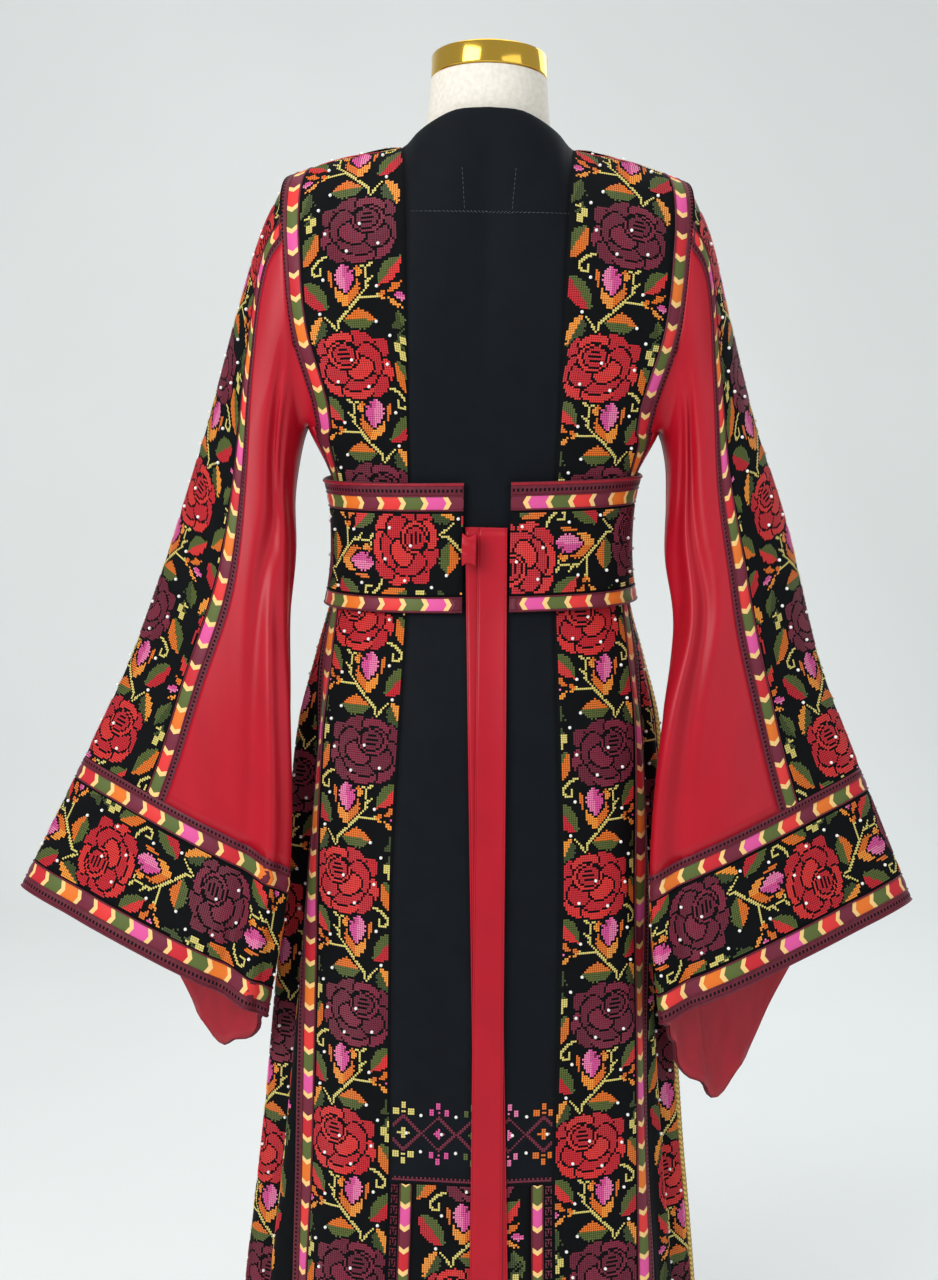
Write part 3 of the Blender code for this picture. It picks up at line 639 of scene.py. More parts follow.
class Finishes:
    """Every finish of the dress and its form, each built once."""

    # Polyester crepe: matt, faintly pebbled, near black with a cool cast.
    CREPE = Finish(
        "black_crepe", "#070B11", 0.75, sheen=0.0, specular=0.14, second="#090E14", thread_mm=2.2,
        bump=0.1
    )
    # Evenweave ground under the embroidery: matt and darker, with an open weave.
    GROUND = Finish(
        "black_evenweave", "#06080A", 0.88, sheen=0.0, specular=0.12, second="#090B0D", thread_mm=2.1,
        bump=0.2
    )
    # Duchesse satin: long floats give it a broad soft shine.
    SATIN = Finish(
        "red_satin", "#AE0B21", 0.40, sheen=0.0, specular=0.28, anisotropic=0.4, second="#A60A1F",
        mottle_mm=60.0,
    )
    LINING = Finish("red_lining", "#A01024", 0.45, sheen=0.1, specular=0.35, second="#940E20")
    # Twisted metallised yarn, drawn coarse enough to show.
    BRAID = Finish(
        "gold_braid_dark", "#A8832A", 0.42, metallic=0.55, second="#8C6A1E", mottle_mm=4.0,
        thread_mm=0.8
    )
    BRAID_LIGHT = Finish("gold_braid_light", "#E3C25A", 0.38, metallic=0.55, second="#D0A940", mottle_mm=4.0)
    PIPING = Finish(
        "maroon_piping", "#561022", 0.55, sheen=0.05, specular=0.3, second="#641628",
        mottle_mm=6.0
    )
    RED_PIPING = Finish(
        "red_piping", "#961024", 0.50, sheen=0.05, specular=0.3, second="#820E20",
        mottle_mm=6.0
    )
    PEARL = Finish("pearl_bead", "#F2EFE8", 0.18, coat=0.6, specular=0.6)
    # Linen stretched over padding: slubby, cream.
    LINEN = Finish(
        "cream_linen", "#E9E4D8", 0.85, sheen=0.2, specular=0.25, second="#DED7C8", mottle_mm=5.0,
        thread_mm=1.3,
        bump=0.5, height_mm=0.25,
    )
    # Polished plating: a clear mirror with faint haze.
    GOLD = Finish("polished_gold", "#E2B64A", 0.12, metallic=1.0)
    STEEL = Finish("painted_steel", "#D9D8D4", 0.40, coat=0.3, second="#D2D1CD", mottle_mm=40.0)
    TOPSTITCH = Finish("black_topstitch", "#3A4048", 0.5, sheen=0.2)

    _built: dict[str, bpy.types.Material] = {}

    @classmethod
    def get(cls, finish: Finish) -> bpy.types.Material:
        """The material of a finish."""
        if finish.name not in cls._built:
            cls._built[finish.name] = finish.build()
        return cls._built[finish.name]


class Thread(IntEnum):
    """Embroidery threads. BARE cells show the ground."""

    BARE = 0
    MAROON = 1
    WINE = 2
    RED = 3
    SCARLET = 4
    ORANGE = 5
    AMBER = 6
    PINK = 7
    ROSE = 8
    OLIVE = 9
    GREEN = 10
    STRAW = 11
    CREAM = 12


THREAD_COLORS = {
    Thread.MAROON: "#6B1B30",
    Thread.WINE: "#7E2239",
    Thread.RED: "#C01F2A",
    Thread.SCARLET: "#D8322F",
    Thread.ORANGE: "#DD6F1F",
    Thread.AMBER: "#EE9435",
    Thread.PINK: "#D64F92",
    Thread.ROSE: "#E77AA6",
    Thread.OLIVE: "#54602A",
    Thread.GREEN: "#3D4A22",
    Thread.STRAW: "#D8C870",
    Thread.CREAM: "#EFC57C",
}


def thread_materials() -> list[bpy.types.Material]:
    """One material for each thread, in the order of the Thread enum, for cross and satin stitch."""
    finishes = [
        Finish(f"thread_{thread.name.lower()}", THREAD_COLORS[thread], 0.55, sheen=0.05, specular=0.3)
        for thread in Thread
        if thread is not Thread.BARE
    ]
    return [Finishes.get(finish) for finish in finishes]


# ---------------------------------------------------------------- cross stitch charts


class Chart:
    """A repeat of cross stitch, drawn in cells. Rows wrap round, and beads lie between the cells."""

    def __init__(self, columns: int, rows: int) -> None:
        """Starts an empty chart."""
        self.cells = np.zeros((rows, columns), np.int8)
        self.beads: list[tuple[float, float]] = []

    def local(self, column: float, row: float, degrees: float = 0.0) -> tuple[Array, Array]:
        """Every cell's place from a point, turned by an angle."""
        rows, columns = self.cells.shape
        x = np.broadcast_to(np.arange(columns) - column, (rows, columns))
        y = np.broadcast_to(((np.arange(rows) - row + rows / 2) % rows - rows / 2)[:, None], (rows, columns))
        c, s = math.cos(math.radians(degrees)), math.sin(math.radians(degrees))
        return c * x + s * y, c * y - s * x

    def fill(self, mask: Array, thread: Thread) -> None:
        """Works a patch of cells in one thread."""
        self.cells[mask] = thread

    def petal(
        self, column: float, row: float, size: tuple[float, float], degrees: float,
        thread: Thread
    ) -> None:
        """Works an oval petal with a bare line round it."""
        u, v = self.local(column, row, degrees)
        self.fill((u / (size[0] + 0.9)) ** 2 + (v / (size[1] + 0.9)) ** 2 <= 1.0, Thread.BARE)
        self.fill((u / size[0]) ** 2 + (v / size[1]) ** 2 <= 1.0, thread)

    def leaf(
        self, column: float, row: float, size: tuple[float, float], degrees: float, upper: Thread,
        lower: Thread
    ) -> None:
        """Works a pointed leaf in two threads, either side of a bare rib.

        Args:
            column: the leaf's middle.
            row: the leaf's middle.
            size: half its length and half its width.
            degrees: turn of its length.
            upper: thread of one half.
            lower: thread of the other half.
        """
        u, v = self.local(column, row, degrees)
        edge = size[1] * (1.0 - (u / size[0]) ** 2)
        rim = (size[1] + 1.2) * (1.0 - (u / (size[0] + 1.4)) ** 2)
        self.fill((np.abs(v) <= rim) & (np.abs(u) <= size[0] + 1.4), Thread.BARE)
        teeth = edge - 0.5 * (np.round(np.abs(u)).astype(int) % 2)
        inside = (np.abs(v) <= teeth) & (np.abs(u) <= size[0])
        self.fill(inside & (v < 0.1), upper)
        self.fill(inside & (v >= 0.1), lower)

    def run(self, points: Sequence[tuple[float, float]], thread: Thread, half: float = 0.75) -> None:
        """Works a line of cells through points, as a stem or a vein."""
        for (x0, y0), (x1, y1) in zip(points, points[1:]):
            length = math.hypot(x1 - x0, y1 - y0)
            u, v = self.local(x0, y0, math.degrees(math.atan2(y1 - y0, x1 - x0)))
            self.fill((u >= -0.5) & (u <= length + 0.5) & (np.abs(v) <= half), thread)

    def square(self, column: float, row: float, thread: Thread, half: float = 1.0) -> None:
        """Works a small square."""
        u, v = self.local(column, row)
        self.fill((np.abs(u) <= half) & (np.abs(v) <= half), thread)



class Petal(NamedTuple):
    """An oval of a motif, in cells from its middle: place, half sizes, turn and thread."""

    u: float
    v: float
    wide: float
    deep: float
    degrees: float
    thread: Thread


class Leaf(NamedTuple):
    """A leaf in two threads, in cells from the rose beside it."""

    u: float
    v: float
    long: float
    wide: float
    degrees: float
    upper: Thread
    lower: Thread


# A rose seen from the side, from its outermost petals to its heart: DARK stands for its darker thread.
DARK, LIGHT = Thread.MAROON, Thread.WINE
ROSE = (
    Petal(-11.5, -6.5, 6.0, 5.0, 35.0, DARK),
    Petal(11.5, -7.0, 5.4, 5.6, -30.0, DARK),
    Petal(-4.0, -11.0, 6.6, 4.0, -12.0, DARK),
    Petal(5.5, -11.0, 6.6, 3.8, 14.0, LIGHT),
    Petal(-13.0, 3.0, 4.6, 6.4, 8.0, LIGHT),
    Petal(13.6, 2.0, 4.0, 6.8, -6.0, DARK),
    Petal(-9.0, 9.6, 6.6, 4.6, 28.0, DARK),
    Petal(9.6, 9.4, 6.6, 4.6, -28.0, LIGHT),
    Petal(0.0, 11.6, 7.4, 3.8, 0.0, LIGHT),
    Petal(-7.6, -2.0, 5.6, 7.4, 14.0, DARK),
    Petal(-1.0, 6.8, 8.6, 4.4, 10.0, DARK),
    Petal(8.6, 3.6, 5.6, 5.2, -34.0, DARK),
    Petal(-2.6, 1.6, 6.4, 4.6, 20.0, LIGHT),
    Petal(4.6, -4.4, 7.2, 6.0, 0.0, LIGHT),
    Petal(4.0, -4.8, 5.0, 4.4, 0.0, DARK),
)
ROSE_BEADS = ((0.6, -2.3), (-15.5, 0.0), (-5.6, 9.8), (8.8, 7.5))

# The spray between two roses, up from the foot of its stem to the rose above.
SPRAY_LEAVES = (
    Leaf(-24.0, 6.5, 9.5, 4.8, 120.0, Thread.ORANGE, Thread.OLIVE),
    Leaf(-21.5, 28.5, 9.8, 5.0, 52.0, Thread.OLIVE, Thread.RED),
    Leaf(13.5, 20.0, 8.6, 4.2, -48.0, Thread.OLIVE, Thread.SCARLET),
    Leaf(-1.5, 40.7, 7.8, 4.8, 3.0, Thread.ORANGE, Thread.OLIVE),
    Leaf(-21.5, 45.0, 7.6, 4.2, 115.0, Thread.GREEN, Thread.AMBER),
    Leaf(18.5, 44.0, 7.0, 3.6, 70.0, Thread.OLIVE, Thread.GREEN),
    Leaf(-12.0, 22.6, 6.4, 2.6, 62.0, Thread.ORANGE, Thread.ORANGE),
    Leaf(-2.0, 20.6, 6.8, 2.6, 112.0, Thread.AMBER, Thread.ORANGE),
    Leaf(-6.0, 27.4, 9.6, 6.2, 84.0, Thread.ORANGE, Thread.AMBER),
    Leaf(-7.2, 21.6, 7.0, 4.6, 84.0, Thread.PINK, Thread.ROSE),
    Leaf(12.0, 30.6, 6.0, 2.2, 2.0, Thread.ORANGE, Thread.AMBER),
    Leaf(15.6, 27.4, 4.6, 1.8, -34.0, Thread.ORANGE, Thread.ORANGE),
    Leaf(15.8, 34.0, 4.6, 1.8, 30.0, Thread.AMBER, Thread.AMBER),
    Leaf(18.6, 31.4, 3.6, 2.0, 8.0, Thread.PINK, Thread.ROSE),
)
SPRAY_STEMS = (
    (
        Thread.STRAW,
        ((-12.0, 47.0), (-10.7, 41.0), (-5.5, 36.0), (-0.5, 30.5), (3.2, 26.5), (2.8, 18.0), (-2.2, 14.5))
    ),
    (Thread.STRAW, ((2.8, 18.0), (6.8, 14.8))),
    (Thread.STRAW, ((-0.5, 30.5), (4.0, 31.2), (8.0, 30.5))),
    (Thread.STRAW, ((-12.0, 46.0), (-15.0, 41.0), (-18.0, 38.5))),
    (Thread.STRAW, ((3.0, 24.0), (6.0, 22.0))),
    (
        Thread.STRAW,
        ((-14.0, 10.5), (-19.0, 12.0), (-22.5, 15.5), (-21.5, 19.0), (-18.0, 18.6), (-18.6, 15.8))
    ),
    (Thread.GREEN, ((-27.0, -17.0), (-23.0, -14.0), (-22.0, -10.0), (-25.0, -7.0), (-23.0, -3.0))),
)
SPRAY_SQUARES = ((-24.0, -11.0, Thread.STRAW), (-21.0, -7.5, Thread.STRAW), (-23.5, -4.5, Thread.STRAW),
                 (-27.0, -14.0, Thread.GREEN), (-20.5, -16.5, Thread.GREEN), (-5.4, 18.6, Thread.MAROON))
SPRAY_BEADS = ((-17.0, 21.5), (7.6, 26.5), (6.4, 42.0), (-19.5, 37.0), (-18.5, -12.5))


class Rows(IntEnum):
    """Rows of the rose band's repeat: a dark rose, a spray, a red rose and the spray turned over."""

    DARK_ROSE = 20
    RED_ROSE = 81
    REPEAT = 122


class ChartBook:
    """The charts that the dress is worked from."""

    COLUMNS = 51
    ROSE_ASIDE = 3.3
    DOUBLES = {
        False: {Thread.MAROON: Thread.MAROON, Thread.WINE: Thread.WINE},
        True: {Thread.MAROON: Thread.RED, Thread.WINE: Thread.SCARLET},
    }

    @classmethod
    def roses(cls) -> Chart:
        """The rose band."""
        chart = Chart(cls.COLUMNS, Rows.REPEAT)
        halves = ((Rows.DARK_ROSE, 1, False), (Rows.RED_ROSE, -1, True))
        for row, mirror, _ in halves:
            cls.spray(chart, row, mirror)
        for row, mirror, red in halves:
            for petal in ROSE:
                thread = cls.DOUBLES[red][petal.thread]
                cls.petal(chart, row, mirror, petal._replace(thread=thread))
            u, v = chart.local(cls.column(4.0, mirror), row - 4.8)
            heart = (u / 3.0) ** 2 + (v / 3.4) ** 2 <= 1.0
            chart.fill(heart & (np.round(v).astype(int) % 2 == 0), Thread.BARE)
            chart.beads += [(cls.column(u, mirror), row + v) for u, v in (*ROSE_BEADS, *SPRAY_BEADS)]
        return chart

    @classmethod
    def column(cls, u: float, mirror: int) -> float:
        """The column at a place from the rose, on either half of the repeat."""
        return (cls.COLUMNS - 1) / 2.0 + mirror * (u + cls.ROSE_ASIDE)

    @classmethod
    def petal(cls, chart: Chart, row: float, mirror: int, petal: Petal) -> None:
        """Works one oval of a motif."""
        chart.petal(
            cls.column(petal.u, mirror), row + petal.v, (petal.wide, petal.deep),
            mirror * petal.degrees, petal.thread
        )

    @classmethod
    def spray(cls, chart: Chart, row: float, mirror: int) -> None:
        """Works the spray of bud, leaves and tendrils below a rose."""
        for leaf in SPRAY_LEAVES:
            degrees, halves = leaf.degrees, (leaf.upper, leaf.lower)
            if mirror < 0:
                degrees, halves = 180.0 - degrees, halves[::-1]
            chart.leaf(cls.column(leaf.u, mirror), row + leaf.v, (leaf.long, leaf.wide), degrees, *halves)
        for thread, stem in SPRAY_STEMS:
            spots = [(cls.column(u, mirror), row + v) for u, v in stem]
            chart.run(spots, Thread.BARE, 1.4)
            chart.run(spots, thread, 0.55)
        for u, v, thread in SPRAY_SQUARES:
            chart.square(cls.column(u, mirror), row + v, thread, 1.5 if thread is Thread.STRAW else 0.8)

    @classmethod
    def diamonds(cls) -> Chart:
        """The row of lozenges and crosses above the lower back panel, with a dotted line under it."""
        chart = Chart(84, 40)
        threads = (Thread.STRAW, Thread.PINK, Thread.OLIVE, Thread.ROSE, Thread.ORANGE)
        for step, thread in enumerate(threads):
            column, row = 9.5 + 16.25 * step, 16.0
            u, v = chart.local(column, row)
            ring = np.abs(u) + np.abs(v)
            chart.fill((ring >= 7.0) & (ring < 8.6), Thread.MAROON)
            chart.square(column, row, thread, 1.2)
            for du, dv in ((0, -2), (0, 2), (-2, 0), (2, 0)):
                chart.square(column + du, row + dv, thread, 0.6)
            for turn in (-1, 1):
                for du, dv in ((-3.5, 10.0), (3.5, 10.0), (0.0, 13.0), (0.0, 10.0)):
                    chart.square(column + du, row + turn * dv, thread, 1.2 if dv != 10.0 or du else 0.6)
                chart.beads.append((column + 8.1, row + turn * 8.5))
            chart.beads.append((column + 1.5, row))
        u, v = chart.local(0.0, 38.0)
        chart.fill((v >= -0.6) & (v <= 0.6), Thread.MAROON)
        chart.fill((v >= -1.6) & (v < -0.6) & (np.round(u).astype(int) % 2 == 0), Thread.MAROON)
        return chart

    @classmethod
    def key(cls) -> Chart:
        """A stepped key pattern, one motif wide."""
        chart = Chart(9, 8)
        for points in (
            [(0, 0), (0, 7)], [(8, 0), (8, 7)], [(2, 1), (6, 1)], [(4, 1), (4, 4)], [(2, 3), (2, 6)],
            [(6, 3), (6, 6)], [(2, 6), (3, 6)],
        ):
            chart.run(points, Thread.MAROON, 0.5)
        return chart


# ---------------------------------------------------------------- making pieces


def grid_object(
    name: str, points: Array, facing: float,
    materials: Sequence[bpy.types.Material]
) -> bpy.types.Object:
    """A sheet over a grid of points, with UVs in metres.

    Args:
        name: the piece's name.
        points: rows of points.
        facing: 1 where across times down points outwards, else -1.
        materials: its slots.

    Returns:
        The object.
    """
    rows, columns = points.shape[:2]
    mesh = bmesh.new()
    bmesh.ops.create_grid(mesh, x_segments=columns - 1, y_segments=rows - 1, size=0.5)
    data = bpy.data.meshes.new(name)
    mesh.to_mesh(data)
    mesh.free()
    flat = np.empty(len(data.vertices) * 3, np.float32)
    data.vertices.foreach_get("co", flat)
    flat = flat.reshape(-1, 3)
    low, high = flat.min(axis=0), flat.max(axis=0)
    share = (flat[:, :2] - low[:2]) / (high[:2] - low[:2])
    column = np.rint(share[:, 0] * (columns - 1)).astype(int)
    row = np.rint((1 - share[:, 1]) * (rows - 1)).astype(int)
    data.vertices.foreach_set("co", points[row, column].astype(np.float32).ravel())
    across = lengths_along(points)
    down = lengths_along(points.transpose(1, 0, 2)).T
    spots = np.stack([across[row, column], down[row, column]], axis=1)
    corners = np.empty(len(data.loops), np.int32)
    data.loops.foreach_get("vertex_index", corners)
    layer = data.uv_layers.new(name="UVMap")
    layer.data.foreach_set("uv", spots[corners].astype(np.float32).ravel())
    if facing > 0.0:
        data.flip_normals()
    for material in materials:
        data.materials.append(material)
    data.shade_smooth()
    return linked(name, data)


def linked(name: str, data: bpy.types.Mesh) -> bpy.types.Object:
    """An object of a mesh, in the scene."""
    data.update()
    made = bpy.data.objects.new(name, data)
    bpy.context.scene.collection.objects.link(made)
    return made


def set_row_slots(piece: bpy.types.Object, columns: int, slots: Array) -> None:
    """Gives every row of a grid sheet its slots.

    Args:
        piece: the sheet.
        columns: faces in a row.
        slots: slot of each face, rows from the top.
    """
    piece.data.polygons.foreach_set(
        "material_index",
        slots[::-1].astype(np.int32).ravel()[: len(piece.data.polygons)]
    )


def tiled_object(
    name: str, points: Array, faces: Array, slots: Array, materials: Sequence[bpy.types.Material],
    smooth: bool
) -> bpy.types.Object:
    """Many copies of a small shape as one mesh.

    Args:
        name: the piece's name.
        points: copies of points.
        faces: the small shape's faces, each with the same number of corners.
        slots: slot of each copy.
        materials: its slots.
        smooth: whether it is shaded smooth.

    Returns:
        The object.
    """
    copies, corners = points.shape[:2]
    size = faces.shape[1]
    index = (faces[None] + (np.arange(copies) * corners)[:, None, None]).reshape(-1, size)
    data = bpy.data.meshes.new(name)
    data.vertices.add(copies * corners)
    data.vertices.foreach_set("co", points.astype(np.float32).ravel())
    data.loops.add(index.size)
    data.loops.foreach_set("vertex_index", index.astype(np.int32).ravel())
    data.polygons.add(len(index))
    data.polygons.foreach_set("loop_start", np.arange(len(index), dtype=np.int32) * size)
    for material in materials:
        data.materials.append(material)
    data.polygons.foreach_set("material_index", np.repeat(slots, len(faces)).astype(np.int32))
    data.polygons.foreach_set("use_smooth", np.full(len(index), smooth))
    data.validate()
    return linked(name, data)


@dataclass(frozen=True)
class Stitching:
    """How a chart is worked on a patch."""

    chart: Chart
    first_row: float = 0.0
    mirrored: bool = False
    shift: float = 0.0
    margin: float = 0.0012
    pitch: float = 0.0021
    beads: bool = True


STITCH_LOW, STITCH_HIGH = 0.00025, 0.00085
BEAD_RADIUS = 0.0017


def chart_across(stitching: Stitching, column: Array) -> Array:
    """Metres from the patch's middle at which chart columns lie."""
    across = (column - (stitching.chart.cells.shape[1] - 1) / 2.0) * stitching.pitch
    return stitching.shift + (-across if stitching.mirrored else across)


def cross_stitch(name: str, patch: Patch, stitching: Stitching) -> list[bpy.types.Object]:
    """Works a chart on a patch: raised stitches, and beads sewn between them.

    Args:
        name: the piece's name.
        patch: the cloth.
        stitching: the chart and where it lies.

    Returns:
        The stitches, and the beads where there are any.
    """
    chart, pitch = stitching.chart, stitching.pitch
    count = int(patch.length / pitch)
    rows = np.arange(count)
    cells = chart.cells[(rows + int(round(stitching.first_row))) % chart.cells.shape[0]]
    row, column = np.nonzero(cells)
    thread = cells[row, column]
    down = (row + 0.5) * pitch
    across = chart_across(stitching, column.astype(float))
    kept = np.abs(across) <= patch.width_at(down) / 2.0 - stitching.margin - pitch / 2.0
    across, down, thread = across[kept], down[kept], thread[kept]
    half = pitch * 0.44
    corners = [
        (-half, -half, STITCH_LOW), (half, -half, STITCH_HIGH), (half, half, STITCH_LOW),
        (-half, half, STITCH_HIGH)
    ]
    points = np.stack(
        [patch.place(across + du, down + dv, np.full(len(across), lift)) for du, dv, lift in corners], axis=1
    )
    faces = np.array([(0, 1, 3), (1, 2, 3)])
    if patch.facing < 0.0:
        faces = faces[:, ::-1]
    made = [tiled_object(name, points, faces, thread - 1, thread_materials(), False)]
    if stitching.beads and chart.beads:
        made += beads(f"{name}_beads", patch, stitching)
    return made


def beads(name: str, patch: Patch, stitching: Stitching) -> list[bpy.types.Object]:
    """Sews pearl beads on a patch, where its chart has them."""
    chart, pitch = stitching.chart, stitching.pitch
    repeat = chart.cells.shape[0]
    spots = []
    for column, row in chart.beads:
        first = (row - stitching.first_row) % repeat
        spots += [(column, first + turn * repeat) for turn in range(int(patch.length / pitch / repeat) + 1)]
    spot = np.array(spots)
    down = (spot[:, 1] + 0.5) * pitch
    across = chart_across(stitching, spot[:, 0])
    kept = (down < patch.length - 0.003) & (np.abs(across) < patch.width_at(down) / 2.0 - 0.003)
    if not kept.any():
        return []
    centres = patch.place(across[kept], down[kept], np.full(int(kept.sum()), BEAD_RADIUS * 0.75))
    ball = bmesh.new()
    bmesh.ops.create_icosphere(ball, subdivisions=2, radius=BEAD_RADIUS)
    shape = np.array([vert.co for vert in ball.verts])
    faces = np.array([[vert.index for vert in face.verts] for face in ball.faces])
    ball.free()
    points = centres[:, None] + shape[None]
    slots = np.zeros(len(points), int)
    return [tiled_object(name, points, faces, slots, [Finishes.get(Finishes.PEARL)], True)]


@dataclass(frozen=True)
class Ribbon:
    """A strip along a patch, between two shares of its width."""

    low: float
    high: float


def ribbon_object(
    name: str, patch: Patch, ribbon: Ribbon, across: Sequence[float], lines: Array, lifts: Array,
    slots: Array,
    materials: Sequence[bpy.types.Material],
) -> bpy.types.Object:
    """A raised strip on a patch.

    Args:
        name: the piece's name.
        patch: the cloth.
        ribbon: where the strip lies.
        across: places of its points, from -1 to 1.
        lines: metres down for every point, rows of points.
        lifts: metres off the cloth for every point.
        slots: slot of every face.
        materials: its slots.

    Returns:
        The object.
    """
    lines = np.clip(lines, 0.0, patch.length)
    width = patch.width_at(lines)
    middle, reach = (ribbon.low + ribbon.high) / 2.0 - 0.5, (ribbon.high - ribbon.low) / 2.0
    spots = (middle + reach * np.asarray(across)[None, :]) * width
    points = patch.place(spots, lines, lifts)
    piece = grid_object(name, points, patch.facing, materials)
    set_row_slots(piece, len(across) - 1, slots)
    return piece


@dataclass(frozen=True)
class Stripe:
    """A satin stitch stripe of chevrons."""

    block: float = 0.0172
    gap: float = 0.0048
    bend: float = 0.0034
    cycle: tuple[Thread, ...] = (
        Thread.MAROON, Thread.SCARLET, Thread.OLIVE, Thread.PINK, Thread.MAROON, Thread.RED,
        Thread.OLIVE, Thread.ORANGE,
    )
    between: Thread = Thread.CREAM
    lift: float = 0.0011


def chevrons(name: str, patch: Patch, ribbon: Ribbon, stripe: Stripe, start: int = 0) -> bpy.types.Object:
    """Works a stripe of chevron blocks that point down the patch."""
    across = (-1.0, -0.5, 0.0, 0.5, 1.0)
    crown = np.array([0.30, 0.85, 0.95, 0.85, 0.30]) * stripe.lift
    period = stripe.block + stripe.gap
    steps, heights, slots = [], [], []
    for block in range(-1, int(patch.length / period) + 2):
        thread = stripe.cycle[(block + start) % len(stripe.cycle)]
        for share, height in ((0.0, 0.55), (0.2, 1.0), (0.8, 1.0), (1.0, 0.55)):
            steps.append(block * period + share * stripe.block)
            heights.append(height)
            slots.append(thread - 1)
        slots[-1] = stripe.between - 1
        steps.append((block + 1) * period - stripe.gap / 2.0)
        heights.append(0.9)
        slots.append(stripe.between - 1)
    slant = stripe.bend * (1.0 - np.abs(np.array(across)))
    lines = np.array(steps)[:, None] + slant[None, :]
    lifts = np.array(heights)[:, None] * crown[None, :]
    inside = (lines.max(axis=1) > 0.0) & (lines.min(axis=1) < patch.length)
    chosen = np.flatnonzero(inside)
    lines, lifts = lines[chosen], lifts[chosen]
    faces = np.repeat(np.array(slots)[chosen[:-1], None], len(across) - 1, axis=1)
    return ribbon_object(name, patch, ribbon, across, lines, lifts, faces, thread_materials())


def piping(name: str, patch: Patch, ribbon: Ribbon, finish: Finish, lift: float = 0.0014) -> bpy.types.Object:
    """Lays a round piping along a patch."""
    across = (-1.0, -0.6, 0.0, 0.6, 1.0)
    steps = np.linspace(0.0, patch.length, max(4, int(patch.length / 0.007)))
    lines = np.repeat(steps[:, None], len(across), axis=1)
    lifts = np.broadcast_to(np.array([0.05, 0.8, 1.0, 0.8, 0.05]) * lift, lines.shape)
    slots = np.zeros((len(steps) - 1, len(across) - 1))
    return ribbon_object(name, patch, ribbon, across, lines, lifts, slots, [Finishes.get(finish)])


def dots(name: str, patch: Patch, ribbon: Ribbon, pitch: float = 0.0042) -> bpy.types.Object:
    """Works a maroon strip with a row of black squares."""
    across = (-1.0, -0.36, 0.36, 1.0)
    steps = np.arange(0.0, patch.length, pitch / 2.0)
    lines = np.repeat(steps[:, None], len(across), axis=1)
    lifts = np.full(lines.shape, 0.0007)
    lifts[:, 0] = lifts[:, -1] = 0.0002
    slots = np.zeros((len(steps) - 1, len(across) - 1))
    slots[::2, 1] = 1
    materials = [Finishes.get(Finishes.PIPING), Finishes.get(Finishes.GROUND)]
    return ribbon_object(name, patch, ribbon, across, lines, lifts, slots, materials)


class BorderStyle(Enum):
    """What a border is made of, from the rose band outwards, with the width of each strip in millimetres."""

    SIDE = (("piping", 1.8), ("chevrons", 11.8), ("piping", 1.8), ("dots", 6.6))
    BELT_TOP = (("piping", 1.8), ("chevrons", 12.0), ("piping", 1.6), ("dots", 8.6), ("red", 3.0))
    BELT_BOTTOM = (("piping", 1.6), ("chevrons", 11.4), ("piping", 2.0))
    CUFF_TOP = (("piping", 1.6), ("chevrons", 12.0), ("piping", 1.6), ("dots", 6.6))
    CUFF_HEM = (("piping", 1.6), ("chevrons", 12.6), ("piping", 1.6), ("dots", 8.0), ("piping", 2.2))


def border(
    name: str, patch: Patch, style: BorderStyle, from_start: bool,
    start: int = 0
) -> list[bpy.types.Object]:
    """Works a striped border on a patch.

    Args:
        name: the piece's name.
        patch: the border's cloth, read along its length.
        style: its strips.
        from_start: whether the rose band lies at the start of the patch's width.
        start: the first colour of the cycle.

    Returns:
        The strips.
    """
    strips = style.value
    total = sum(width for _, width in strips)
    made, low = [], 0.0
    for number, (kind, width) in enumerate(strips):
        high = low + width / total
        ribbon = Ribbon(low, high) if from_start else Ribbon(1.0 - high, 1.0 - low)
        label = f"{name}_{kind}_{number}"
        if kind == "chevrons":
            made.append(chevrons(label, patch, ribbon, Stripe(), start))
        elif kind == "dots":
            made.append(dots(label, patch, ribbon))
        else:
            finish = Finishes.RED_PIPING if kind == "red" else Finishes.PIPING
            made.append(piping(label, patch, ribbon, finish))
        low = high
    return made


class Bench:
    """Finishes pieces: thickness, body and what they stand for."""

    @staticmethod
    def cloth(
        name: str, patch: Patch, finish: Finish, slot: str, held: str = "draped", node: str = "",
        rests: Sequence[str] = (),
        extras: Sequence[bpy.types.Object] = (), wall: float = SIZES.cloth,
    ) -> bpy.types.Object:
        """Args:
            name: the piece's name.
            patch: its cloth.
            finish: its finish.
            slot: the record's material slot; not used.
            held: how it is held; not used.
            node: the CAD node that it stands for.
            rests: what it lies on; not used.
            extras: what is stitched on it.
            wall: its thickness.

        Returns:
            The piece.
        """
        piece = grid_object(name, patch.points, patch.facing, [Finishes.get(finish)])
        solid = piece.modifiers.new("thickness", "SOLIDIFY")
        solid.thickness = wall
        solid.offset = -1.0
        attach(piece, "root")
        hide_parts(node)
        for extra in extras:
            Bench.extra(extra, slot)
        return piece

    @staticmethod
    def extra(piece: bpy.types.Object, slot: str) -> None:
        """Attaches a piece that is stitched on cloth to the root body."""
        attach(piece, "root")


# ---------------------------------------------------------------- sub-assemblies


ROSES = ChartBook.roses()


